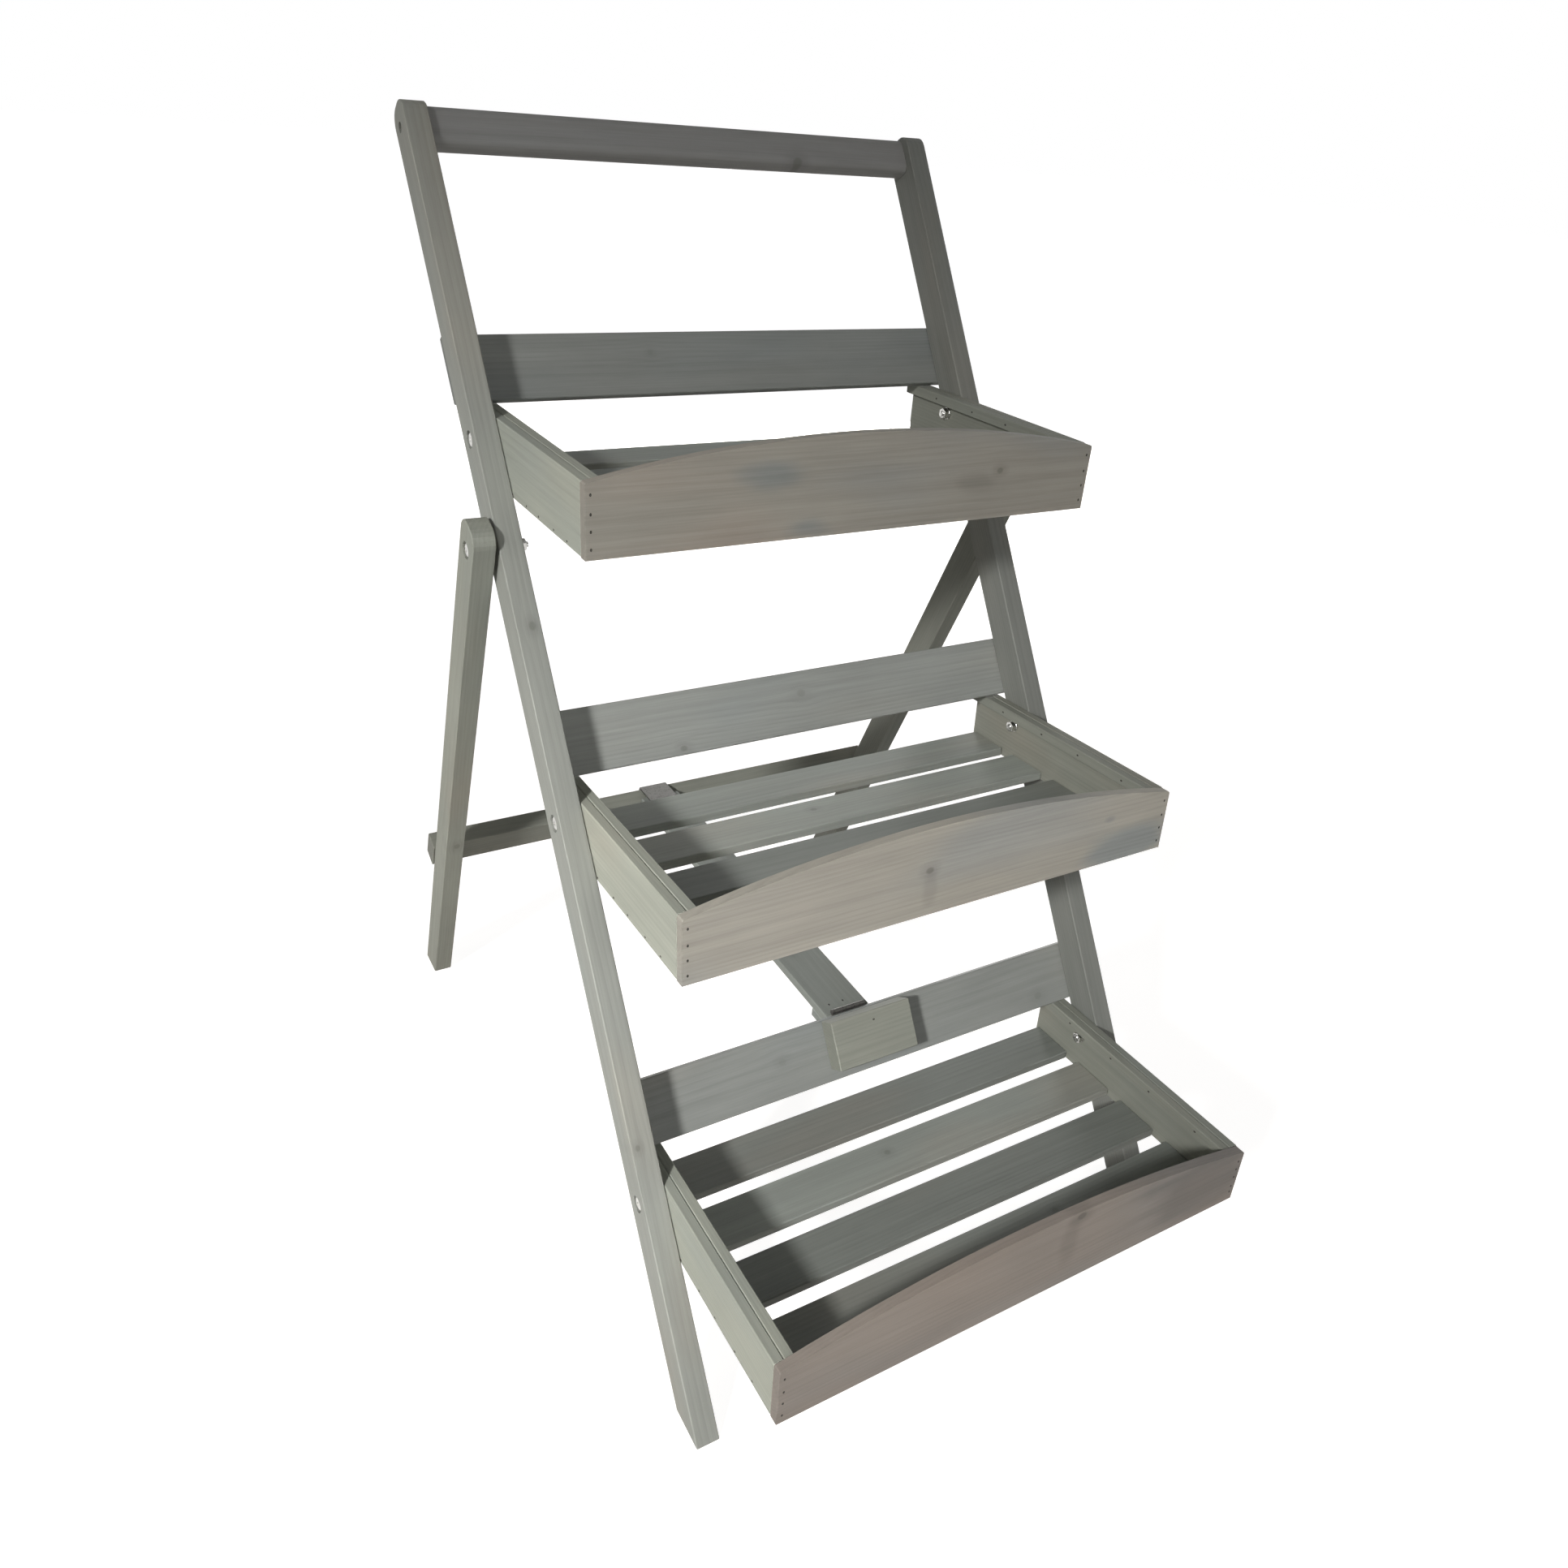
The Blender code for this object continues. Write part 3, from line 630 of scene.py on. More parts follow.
@dataclass
class Timber:
    """One piece of wood of the frame, which is given its own stained grain.

    Attributes:
        node: The name of the piece in the frame.
        frame: The frame that the piece is square with.
        cut: How the piece lies in that frame.
        finish: The finish of the wood.
        seed: A number that sets this piece's grain apart from the others'.
        lightness: How much lighter than the finish the piece is: its own tone, and on some pieces painted
            light and shade where they are lit more or less.
        knots: The knots of the piece.
        blots: The blots of its stain.
        axes: Its own axes, along the grain, across its face and through it, as a rotation.
        middle: Its middle in the stand's axes.
        half: Half its length, width and thickness.
    """

    node: str
    frame: JoinersFrame
    cut: Cut
    finish: StainedWood
    seed: float
    lightness: float = 1.0
    knots: Sequence[Knot] = ()
    blots: Sequence[Blot] = ()
    axes: Matrix = field(init=False)
    middle: Vector = field(init=False)
    half: Vector = field(init=False)

    def __post_init__(self) -> None:
        """Measures the piece along its own axes."""
        self.axes = self.frame.rotation() @ self.cut.axes()
        back = self.axes.transposed()
        points = [back @ point.co for point in bpy.data.objects[self.node].data.vertices]
        low = Vector(min(point[axis] for point in points) for axis in range(3))
        high = Vector(max(point[axis] for point in points) for axis in range(3))
        self.middle = self.axes @ ((low + high) / 2)
        self.half = (high - low) / 2

    def dress(self, piece: bpy.types.Object | None = None) -> None:
        """Gives the piece its material.

        Args:
            piece: The object that takes it, where it isn't the frame's own.
        """
        coat(piece or bpy.data.objects[self.node], self.finish.material(self.node + "_wood", self))


@dataclass(frozen=True)
class Woods:
    """The stained wood of each kind of piece, which took up the stain a little differently; the fronts' warm
    pink cast is painted warm bounce light.

    Attributes:
        stile: The wood of the stiles.
        rail: The wood of the top rail.
        board: The wood of the back boards.
        side: The wood of the trays' sides and strips.
        front: The wood of the trays' arched fronts, whose warm pink cast is painted warm light bounced up
            from the floor.
        pink_front: The wood of the lowest front, pinker still with that painted warm bounce light.
        slat: The wood of the slats and the stay.
        leg: The wood of the rear legs and their crossbar.
    """

    stile: StainedWood = StainedWood((0.243, 0.249, 0.225), (0.223, 0.236, 0.218), (0.262, 0.253, 0.218))
    rail: StainedWood = StainedWood((0.251, 0.248, 0.239), (0.228, 0.233, 0.229), (0.268, 0.256, 0.236))
    board: StainedWood = StainedWood((0.240, 0.248, 0.231), (0.222, 0.236, 0.227), (0.262, 0.257, 0.229))
    side: StainedWood = StainedWood((0.318, 0.327, 0.276), (0.288, 0.305, 0.268), (0.343, 0.330, 0.272))
    # Warm pink cast of the fronts' wood: painted warm light bounced up from the floor.
    front: StainedWood = StainedWood((0.308, 0.289, 0.248), (0.268, 0.268, 0.250), (0.338, 0.292, 0.243))
    # Pinker still for the lowest front: more painted warm bounce light.
    pink_front: StainedWood = StainedWood(
        (0.268, 0.232, 0.200), (0.232, 0.216, 0.198), (0.298, 0.244, 0.202)
    )
    slat: StainedWood = StainedWood((0.257, 0.273, 0.246), (0.238, 0.260, 0.242), (0.284, 0.280, 0.244))
    leg: StainedWood = StainedWood((0.238, 0.243, 0.206), (0.219, 0.230, 0.200), (0.252, 0.239, 0.197))


@dataclass(frozen=True)
class PlatedSteel:
    """Bright or dull plated steel.

    Attributes:
        colour: The colour of the plate.
        shade: The colour of its stained spots.
        roughness: How rough it is on average.
        rough_share: How much the spots vary that.
        waves: How many waves the spots make to a metre, on each axis.
        spots_from: Where in their noise the spots start and are full.
    """

    colour: Colour = (0.66, 0.655, 0.63)
    shade: Colour = (0.30, 0.29, 0.265)
    roughness: float = 0.30
    rough_share: float = 0.35
    waves: Place = (420.0, 420.0, 420.0)
    spots_from: Span = (0.0, 0.3)

    def material(self, name: str) -> bpy.types.Material:
        """Makes the material.

        Args:
            name: The material's name.

        Returns:
            The material.
        """
        made = bpy.data.materials.new(name)
        graph = ShaderGraph(made)
        spots = graph.noise(graph.node("TexCoord").outputs["Object"], self.waves, 4.0, 0.6)
        stained = graph.ramp(spots, *self.spots_from)
        graph.surface({
            "Base Color": graph.blend(stained, rgba(self.colour), rgba(self.shade)),
            "Roughness": graph.plus(self.roughness, self.rough_share, spots),
            "Metallic": 1.0,
        })
        return made


@dataclass(frozen=True)
class NailHole:
    """The dark mouth of a hole that a nail was shot into.

    Attributes:
        colour: The colour of the crushed wood.
        lighter: The colour of its lighter fibres.
        roughness: How rough it is.
        waves: How many waves the fibres make to a metre, on each axis.
        lighter_from: Where in their noise the lighter ones start and are full.
    """

    colour: Colour = (0.020, 0.017, 0.014)
    lighter: Colour = (0.060, 0.051, 0.042)
    roughness: float = 0.9
    waves: Place = (1500.0, 1500.0, 1500.0)
    lighter_from: Span = (-0.1, 0.3)

    def material(self, name: str) -> bpy.types.Material:
        """Makes the material.

        Args:
            name: The material's name.

        Returns:
            The material.
        """
        made = bpy.data.materials.new(name)
        graph = ShaderGraph(made)
        fibres = graph.noise(graph.node("TexCoord").outputs["Object"], self.waves)
        lit = graph.ramp(fibres, *self.lighter_from)
        graph.surface({
            "Base Color": graph.blend(lit, rgba(self.colour), rgba(self.lighter)),
            "Roughness": self.roughness,
        })
        return made


def smoothed(mesh: bpy.types.Mesh) -> bpy.types.Mesh:
    """Shades a mesh smooth apart from its sharp edges.

    Args:
        mesh: The mesh.

    Returns:
        The same mesh.
    """
    mesh.shade_smooth()
    mesh.set_sharp_from_angle(angle=SHARP_FROM)
    return mesh


def new_mesh(name: str, shape: bmesh.types.BMesh, smooth: bool = True) -> bpy.types.Mesh:
    """Turns a bmesh into a mesh and frees it.

    Args:
        name: The mesh's name.
        shape: The bmesh.
        smooth: Whether the mesh is shaded smooth apart from its sharp edges.

    Returns:
        The mesh.
    """
    bmesh.ops.recalc_face_normals(shape, faces=shape.faces)
    mesh = bpy.data.meshes.new(name)
    shape.to_mesh(mesh)
    shape.free()
    return smoothed(mesh) if smooth else mesh


def turned(profile: Iterable[tuple[float, float]], sides: int = 48) -> bmesh.types.BMesh:
    """Turns a profile about Z.

    Args:
        profile: Pairs of radius and height, from one end of the axis to the other.
        sides: How many sides the shape gets.

    Returns:
        The shape.
    """
    shape = bmesh.new()
    points = [shape.verts.new((radius, 0, height)) for radius, height in profile]
    edges = [shape.edges.new(pair) for pair in zip(points, points[1:])]
    bmesh.ops.spin(
        shape, geom=points + edges, cent=(0, 0, 0), axis=(0, 0, 1), angle=2 * pi, steps=sides, use_merge=True
    )
    bmesh.ops.remove_doubles(shape, verts=shape.verts, dist=0.001 * MM)
    return shape


def carved(
    name: str, body: bpy.types.Mesh, tool: bpy.types.Mesh, kept: Carving = Carving.OUTSIDE
) -> bpy.types.Mesh:
    """Carves one mesh with another.

    Args:
        name: The name of the result.
        body: The mesh that is carved.
        tool: The mesh that carves it.
        kept: Which part of the first one is kept.

    Returns:
        The carved mesh.
    """
    body_object = bpy.data.objects.new(name, body)
    tool_object = bpy.data.objects.new(name + "_tool", tool)
    for made in (body_object, tool_object):
        bpy.context.scene.collection.objects.link(made)
    carve = body_object.modifiers.new("carve", "BOOLEAN")
    carve.operation = kept.value
    carve.object = tool_object
    bpy.context.view_layer.update()
    graph = bpy.context.evaluated_depsgraph_get()
    mesh = bpy.data.meshes.new_from_object(body_object.evaluated_get(graph))
    mesh.name = name
    for made in (body_object, tool_object):
        bpy.data.objects.remove(made, do_unlink=True)
    return smoothed(mesh)


def placed(name: str, mesh: bpy.types.Mesh, place: Matrix, body: str) -> bpy.types.Object:
    """Adds a piece to the scene, on the body that it moves with.

    Args:
        name: The piece's name.
        mesh: Its mesh.
        place: Its place in the stand's axes.
        body: The body that carries it.

    Returns:
        The piece.
    """
    piece = bpy.data.objects.new(name, mesh)
    bpy.context.scene.collection.objects.link(piece)
    piece.matrix_world = place
    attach(piece, body)
    return piece


def facing(direction: Vector) -> Matrix:
    """A rotation that turns Z to a direction."""
    return direction.to_track_quat("Z", "Y").to_matrix().to_4x4()


def bolt_line(node: str, side: Side) -> tuple[float, float, float, Matrix]:
    """How a bolt or nut of the frame lies on the line through its middle, square with the stand's side.

    Args:
        node: Its name in the frame.
        side: The side of the stand that it is on.

    Returns:
        How far its outer and its inner end are from the stand's middle, its width, and a place whose Z
        runs outwards along the line from the stand's middle.
    """
    low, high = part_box(node)
    middle = (low + high) / 2
    inner, outer = sorted((abs(low.x), abs(high.x)))
    place = Matrix.Translation((0, middle.y, middle.z)) @ facing(Vector((side.value, 0, 0)))
    return outer, inner, high.z - low.z, place


@dataclass
class Fastenings:
    """The bolts, nuts and screws, and the nails that hold the boards.

    Attributes:
        head_high: How high a bolt's head is.
        head_dome: How much of that is its dome.
        dome_most: The most of a low head's height that its dome takes up.
        head_flat: The share of a head's radius at which its dome starts.
        shank_wide: The bolts' thickness.
        shank_play: How far the threads' crests stay inside it.
        pitch: The rise of one turn of their threads.
        thread_deep: How deep the threads are.
        cross_wide: The width of the cross in a head.
        cross_arm: The thickness of the cross's arms.
        cross_deep: The share of a head's height that the cross goes down.
        cross_taper: How wide the cross is at its bottom, as a share of its top.
        nut_across: The nuts' width across their flats.
        nut_flat: The share of a nut's flats at which its chamfer starts.
        nut_play: How much wider than the shank a nut's bore is on each side.
        washer_thick: The washers' thickness.
        washer_ease: How round the washers' rims are.
        screw_head_wide: The width of the countersunk screws' heads.
        screw_head_high: The height of those heads.
        nail_wide: The width of a nail's hole.
        nail_tall: The hole's length in the way that the nail gun's strip lay.
        nail_proud: How far the rim of the hole stands out.
        nail_end: How wide the nail's end in the hole is, as a share of the hole.
        end_proud: How far that end stands out past the rim.
        zinc: The finish of the bolts and nuts.
        dull: The finish of the screws, the nails and the plain steel pieces.
        hole: The finish of the nails' holes.
    """

    head_high: float = 3.5 * MM
    head_dome: float = 1.5 * MM
    dome_most: float = 0.6
    head_flat: float = 0.62
    shank_wide: float = 6.0 * MM
    shank_play: float = 0.05 * MM
    pitch: float = 1.0 * MM
    thread_deep: float = 0.5 * MM
    cross_wide: float = 6.4 * MM
    cross_arm: float = 1.5 * MM
    cross_deep: float = 0.55
    cross_taper: float = 0.45
    nut_across: float = 10.0 * MM
    nut_flat: float = 0.97
    nut_play: float = 0.06 * MM
    washer_thick: float = 1.4 * MM
    washer_ease: float = 0.25 * MM
    screw_head_wide: float = 7.6 * MM
    screw_head_high: float = 1.6 * MM
    nail_wide: float = 2.0 * MM
    nail_tall: float = 2.9 * MM
    nail_proud: float = 0.12 * MM
    nail_end: float = 0.26
    end_proud: float = 0.05 * MM
    zinc: bpy.types.Material = field(init=False)
    dull: bpy.types.Material = field(init=False)
    hole: bpy.types.Material = field(init=False)

    def __post_init__(self) -> None:
        """Makes the finishes that all the fastenings share."""
        self.zinc = PlatedSteel().material("zinc_plate")
        self.dull = PlatedSteel((0.14, 0.137, 0.128), (0.07, 0.064, 0.058), 0.60).material("dull_steel")
        self.hole = NailHole().material("nail_hole")

    def cross(self, name: str, top: float, deep: float) -> bpy.types.Mesh:
        """The tapered cross that a driver fits, as a tool to carve a head with.

        Args:
            name: The mesh's name.
            top: The height of the head's top.
            deep: How deep the cross goes.

        Returns:
            The tool's mesh.
        """
        shape = bmesh.new()
        half, arm = self.cross_wide / 2, self.cross_arm / 2
        outline = [
            (half, -arm), (half, arm), (arm, arm), (arm, half), (-arm, half), (-arm, arm),
            (-half, arm), (-half, -arm), (-arm, -arm), (-arm, -half), (arm, -half), (arm, -arm),
        ]
        upper = [shape.verts.new((x, y, top + deep)) for x, y in outline]
        taper = self.cross_taper
        lower = [shape.verts.new((x * taper, y * taper, top - deep)) for x, y in outline]
        shape.faces.new(upper)
        shape.faces.new(list(reversed(lower)))
        for index in range(len(outline)):
            after = (index + 1) % len(outline)
            shape.faces.new((upper[index], lower[index], lower[after], upper[after]))
        bmesh.ops.triangulate(shape, faces=[face for face in shape.faces if len(face.verts) > 4])
        return new_mesh(name, shape, smooth=False)

    def head(self, name: str, wide: float, low: float, high: float) -> bpy.types.Mesh:
        """A low domed head with a cross in its top.

        Args:
            name: The mesh's name.
            wide: The head's width.
            low: The height of its seat.
            high: The height of its top.

        Returns:
            The head's mesh.
        """
        rise = min(self.head_dome, (high - low) * self.dome_most)
        radius, steps = wide / 2, 6
        profile = [(0, high)]
        for step in range(1, steps + 1):
            angle = step / steps * pi / 2
            out = self.head_flat + (1 - self.head_flat) * sin(angle)
            profile.append((radius * out, high - rise * (1 - cos(angle))))
        profile += [(radius, low), (0, low)]
        body = new_mesh(name + "_body", turned(profile))
        return carved(name, body, self.cross(name + "_cross", high, self.cross_deep * (high - low)))

    def thread(self, name: str, low: float, high: float) -> bpy.types.Mesh:
        """A bolt's shank with its thread, between two heights.

        Args:
            name: The mesh's name.
            low: The height of its end.
            high: The height at which the head starts.

        Returns:
            The shank's mesh.
        """
        outer, sides = self.shank_wide / 2 - self.shank_play, 24
        inner = outer - self.thread_deep
        last = int((high - low) / self.pitch) * sides
        shape = bmesh.new()
        rows = []
        for step in range(last + 1):
            angle = 2 * pi * step / sides
            start = low + self.pitch * step / sides
            # The thread rises over its first turn and fades out over its last, to this share of itself.
            share = max(0.05, min(1.0, step / sides, (last - step) / sides))
            crest = inner + (outer - inner) * share
            row = []
            for radius, rise in ((inner, 0.0), (crest, 0.45), (crest, 0.55), (inner, 1.0)):
                height = min(high, start + rise * self.pitch)
                row.append(shape.verts.new((radius * cos(angle), radius * sin(angle), height)))
            rows.append(row)
        for first, second in zip(rows, rows[1:]):
            for index in range(3):
                shape.faces.new((first[index], second[index], second[index + 1], first[index + 1]))
        core = bmesh.ops.create_cone(
            shape, cap_ends=True, segments=sides, radius1=inner - 0.02 * MM, radius2=inner, depth=high - low
        )
        bmesh.ops.translate(shape, vec=(0, 0, (low + high) / 2), verts=core["verts"])
        return new_mesh(name, shape)

    def plated(self, name: str, mesh: bpy.types.Mesh, place: Matrix, body: str, node: str) -> None:
        """Adds a zinc-plated piece that stands for a node of the frame.

        Args:
            name: The piece's name.
            mesh: Its mesh.
            place: Its place in the stand's axes.
            body: The body that carries it.
            node: The node that it stands for.
        """
        mesh.materials.append(self.zinc)
        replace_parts(placed(name, mesh, place, body), node)

    def bolt(self, node: str, side: Side, body: str) -> None:
        """Replaces a bolt of the frame with one that has a crossed head and a thread.

        Args:
            node: The bolt's name in the frame.
            side: The side that its head faces.
            body: The body that carries it.
        """
        top, tip, head_wide, place = bolt_line(node, side)
        seat = top - self.head_high
        head = self.head(node + "_head", head_wide, seat, top)
        self.plated(node + "_head_detail", head, place, body, node)
        shank = self.thread(node + "_shank", tip, seat)
        self.plated(node + "_shank_detail", shank, place, body, node)

    def nut(self, node: str, side: Side, body: str) -> None:
        """Replaces a nut of the frame with a chamfered one on a rounded washer.

        Args:
            node: The nut's name in the frame.
            side: The side of the stand that it is on.
            body: The body that carries it.
        """
        face, end, washer_wide, place = bolt_line(node, side)
        flat, bore = self.nut_across / 2, self.shank_wide / 2 + self.nut_play
        corner, start = flat / cos(pi / 6), self.nut_flat * flat
        top = face - self.washer_thick
        hexagon = bmesh.new()
        bmesh.ops.create_cone(
            hexagon, cap_ends=True, segments=6, radius1=corner, radius2=corner, depth=top - end
        )
        bmesh.ops.translate(hexagon, vec=(0, 0, (top + end) / 2), verts=hexagon.verts)
        rise, past = (corner - start) * tan(pi / 6), corner + 0.1 * MM
        chamfer = [(0, top), (start, top), (past, top - rise), (past, end + rise), (start, end), (0, end)]
        bar = new_mesh(node + "_hexagon", hexagon, smooth=False)
        lens = new_mesh(node + "_lens", turned(chamfer))
        mesh = carved(node + "_blank", bar, lens, Carving.INSIDE)
        drill = [(0, top + MM), (bore, top + MM), (bore, end - MM), (0, end - MM)]
        mesh = carved(node + "_nut", mesh, new_mesh(node + "_drill", turned(drill, 32)))
        self.plated(node + "_detail", mesh, place, body, node)

        rim, ease = washer_wide / 2, self.washer_ease
        ring = [
            (bore, face), (rim - ease, face), (rim, face - ease), (rim, top + ease), (rim - ease, top),
            (bore, top), (bore, face),
        ]
        washer = new_mesh(node + "_washer", turned(ring))
        self.plated(node + "_washer_detail", washer, place, body, node)

    def screw(self, name: str, frame: JoinersFrame, at: Place, direction: Place, body: str) -> None:
        """Adds the head of a screw that lies in a recess or on a face.

        Args:
            name: The piece's name.
            frame: The frame that the place is given in.
            at: The middle of the head's seat.
            direction: Which way the head faces in that frame.
            body: The body that carries it.
        """
        mesh = self.head(name, self.screw_head_wide, 0.0, self.screw_head_high)
        mesh.materials.append(self.dull)
        turn = frame.rotation() @ Vector(direction)
        place = Matrix.Translation(frame.matrix() @ Vector(at)) @ facing(turn)
        placed(name, mesh, place, body)

    def nails(
        self, name: str, frame: JoinersFrame, spots: Iterable[tuple[Place, Place]], tall: Place, body: str
    ) -> None:
        """Adds a group of nails: each is a dark oval mouth with the nail's end in it.

        Args:
            name: The piece's name.
            frame: The frame that the spots are given in.
            spots: Pairs of a place on a face and the way that the face looks.
            tall: The way that the ovals are longest.
            body: The body that carries them.
        """
        shape = bmesh.new()
        for at, direction in spots:
            out, up = Vector(direction), Vector(tall)
            turn = Matrix((up.cross(out), up, out)).transposed().to_4x4()
            mouth, end = (1.0, self.nail_proud), (self.nail_end, self.nail_proud + self.end_proud)
            for index, (share, high) in enumerate((mouth, end)):
                scale = Matrix.Diagonal((self.nail_wide * share, self.nail_tall * share, 1, 1))
                made = bmesh.ops.create_cone(
                    shape, cap_ends=True, segments=14, radius1=0.5, radius2=0.42, depth=2 * high,
                    matrix=Matrix.Translation(at) @ turn @ scale,
                )
                for face in {face for point in made["verts"] for face in point.link_faces}:
                    face.material_index = index
        mesh = new_mesh(name, shape)
        for material in (self.hole, self.dull):
            mesh.materials.append(material)
        placed(name, mesh, frame.matrix(), body)


@dataclass
class Tray:
    """One slatted tray, which tips up on its two bolts.

    Attributes:
        tier: The tray's place in the stand: bottom, middle or top.
        pivot: The middle of the bolts that it turns on.
        slope_deg: How much its front is raised.
        tint: How light its wood is painted; the top tray's is lower as painted shade, where less light
            reaches the top.
        front_tint: How light its front is painted; the middle tray's is higher as painted light, where the
            light is strongest at mid height.
        slat_tints: How light the slats' wood is, from the rear one.
        front_knots: The knots in its arched front.
        front_blots: The blots on its arched front: of the stain, and on the bottom front also painted light
            and shade.
        nail_marks: How high the nails in its front's left end are, from the bolts.
        right_marks: How high those in its right end are.
        side_tint: How light its sides and strips are, as a share of its own tint.
        sides_differ: How much lighter those on the left are, and how much darker those on the right: painted
            light from the left, falling off to the right.
        slat_knots: The knots in the slats, from the rear one.
        side_face: How far the sides' outer faces are from the middle.
        front_face: How far ahead of the bolts the front's face is.
        strip_face: How far the strips' inner faces are from the middle.
        edge_line: How high the nails through the sides into the slats are.
        slat_middles: How far ahead of the bolts the slats' middles are.
        slat_nail_apart: Half the distance between the two nails of a slat.
        strip_line: How high the nails in the strips are.
        strip_nails: How far ahead of the bolts the nails in the strips are.
        end_nails: How far from the middle the nails in the front are.
    """

    tier: str
    pivot: Place
    slope_deg: float
    tint: float
    front_tint: float
    slat_tints: Sequence[float]
    front_knots: Sequence[Knot]
    front_blots: Sequence[Blot]
    nail_marks: Sequence[float] = (10.0 * MM, -5.0 * MM, -18.5 * MM, -32.5 * MM)
    right_marks: Sequence[float] = nail_marks
    side_tint: float = 0.94
    sides_differ: float = 0.24
    slat_knots: Sequence[Sequence[Knot]] = (
        (), (Knot(-0.02, 6 * MM, 6 * MM, 0.25),), (), (Knot(0.08, 6 * MM, 6 * MM, 0.25),)
    )
    side_face: float = 250.0 * MM
    front_face: float = 214.3 * MM
    strip_face: float = 231.7 * MM
    edge_line: float = -37.5 * MM
    slat_middles: Sequence[float] = (-38.0 * MM, 28.0 * MM, 94.0 * MM, 160.0 * MM)
    slat_nail_apart: float = 15.0 * MM
    strip_line: float = 13.5 * MM
    strip_nails: Sequence[float] = (-10.0 * MM, 53.0 * MM, 108.0 * MM, 170.0 * MM)
    end_nails: float = 245.2 * MM

    @property
    def body(self) -> str:
        """The body that the tray moves with."""
        return self.tier + "_tray"

    @property
    def frame(self) -> JoinersFrame:
        """The frame that the tray's pieces are square with."""
        return JoinersFrame(self.pivot, -self.slope_deg)

    def dress(self, woods: Woods, front_wood: StainedWood, seed: float) -> None:
        """Gives each board, strip and slat its wood.

        Args:
            woods: The finishes of the wood.
            front_wood: The finish of the arched front.
            seed: The first of the seeds for the pieces' grain.
        """
        name = self.body
        Timber(
            name + "_front", self.frame, Cut.BOARD_ON_EDGE, front_wood, seed, self.front_tint,
            self.front_knots, self.front_blots,
        ).dress()
        for index, side in enumerate(Side):
            # Painted light: the left side and strip are lighter and the right ones darker, as the light
            # falls from the left.
            tint = self.side_tint * self.tint * side.share(self.sides_differ)
            for part, step in (("side", 1.0), ("strip", 2.0)):
                Timber(
                    f"{name}_{side.word}_{part}", self.frame, Cut.SIDE_ON_EDGE, woods.side,
                    seed + step + 2 * index, tint,
                ).dress()
        for index, (slat_tint, knots) in enumerate(zip(self.slat_tints, self.slat_knots)):
            Timber(
                f"{name}_slat_{index + 1}", self.frame, Cut.SLAT_LAID_FLAT, woods.slat, seed + 6.0 + index,
                self.tint * slat_tint, knots,
            ).dress()
        LOG.info("%s: wood on its front, sides, strips and slats", name)

    def fasten(self, fastenings: Fastenings) -> None:
        """Adds the nails that hold the tray together.

        Args:
            fastenings: What makes the nails.
        """
        front, edges, strips = [], [], []
        for side in Side:
            sign = side.value
            for high in self.right_marks if side is Side.RIGHT else self.nail_marks:
                front.append(((sign * self.end_nails, -self.front_face, high), (0, -1, 0)))
            for middle in self.slat_middles:
                for apart in (-self.slat_nail_apart, self.slat_nail_apart):
                    edges.append(((sign * self.side_face, -(middle + apart), self.edge_line), (sign, 0, 0)))
            for ahead in self.strip_nails:
                strips.append(((sign * self.strip_face, -ahead, self.strip_line), (-sign, 0, 0)))
        fastenings.nails(self.body + "_front_nails", self.frame, front, (0, 0, 1), self.body)
        fastenings.nails(self.body + "_slat_nails", self.frame, edges, (0, 1, 0), self.body)
        fastenings.nails(self.body + "_strip_nails", self.frame, strips, (0, 1, 0), self.body)
        LOG.info("%s: %d nails", self.body, len(front) + len(edges) + len(strips))


@dataclass
class TopRail:
    """The rail between the stiles' heads, with its long edges well rounded.

    Attributes:
        high: The rail's height.
        thick: Its thickness.
        rounding: How round its long edges are.
        steps: How many steps the rounding has.
        half_long: Half its length.
        place: Its middle in the front frame.
    """

    high: float = 35.0 * MM
    thick: float = 22.0 * MM
    rounding: float = 8.0 * MM
    steps: int = 8
    half_long: float = 250.2 * MM
    place: Place = (0.0, 2.0 * MM, 1162.0 * MM)

    def build(self, frame: JoinersFrame, body: str) -> bpy.types.Object:
        """Makes the rail and puts it between the stiles.

        Args:
            frame: The front frame.
            body: The body that carries it.

        Returns:
            The rail.
        """
        shape = bmesh.new()
        bmesh.ops.create_cube(shape, size=1)
        bmesh.ops.scale(shape, vec=(2 * self.half_long, self.thick, self.high), verts=shape.verts)
        along = [edge for edge in shape.edges if edge.verts[0].co.x != edge.verts[1].co.x]
        bmesh.ops.bevel(
            shape, geom=along, offset=self.rounding, segments=self.steps, profile=0.5, affect="EDGES"
        )
        place = frame.matrix() @ Matrix.Translation(self.place)
        bmesh.ops.transform(shape, matrix=place, verts=shape.verts)
        mesh = new_mesh("top_rail_detail", shape)
        piece = placed("top_rail_detail", mesh, Matrix.Identity(4), body)
        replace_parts(piece, "top_rail")
        return piece


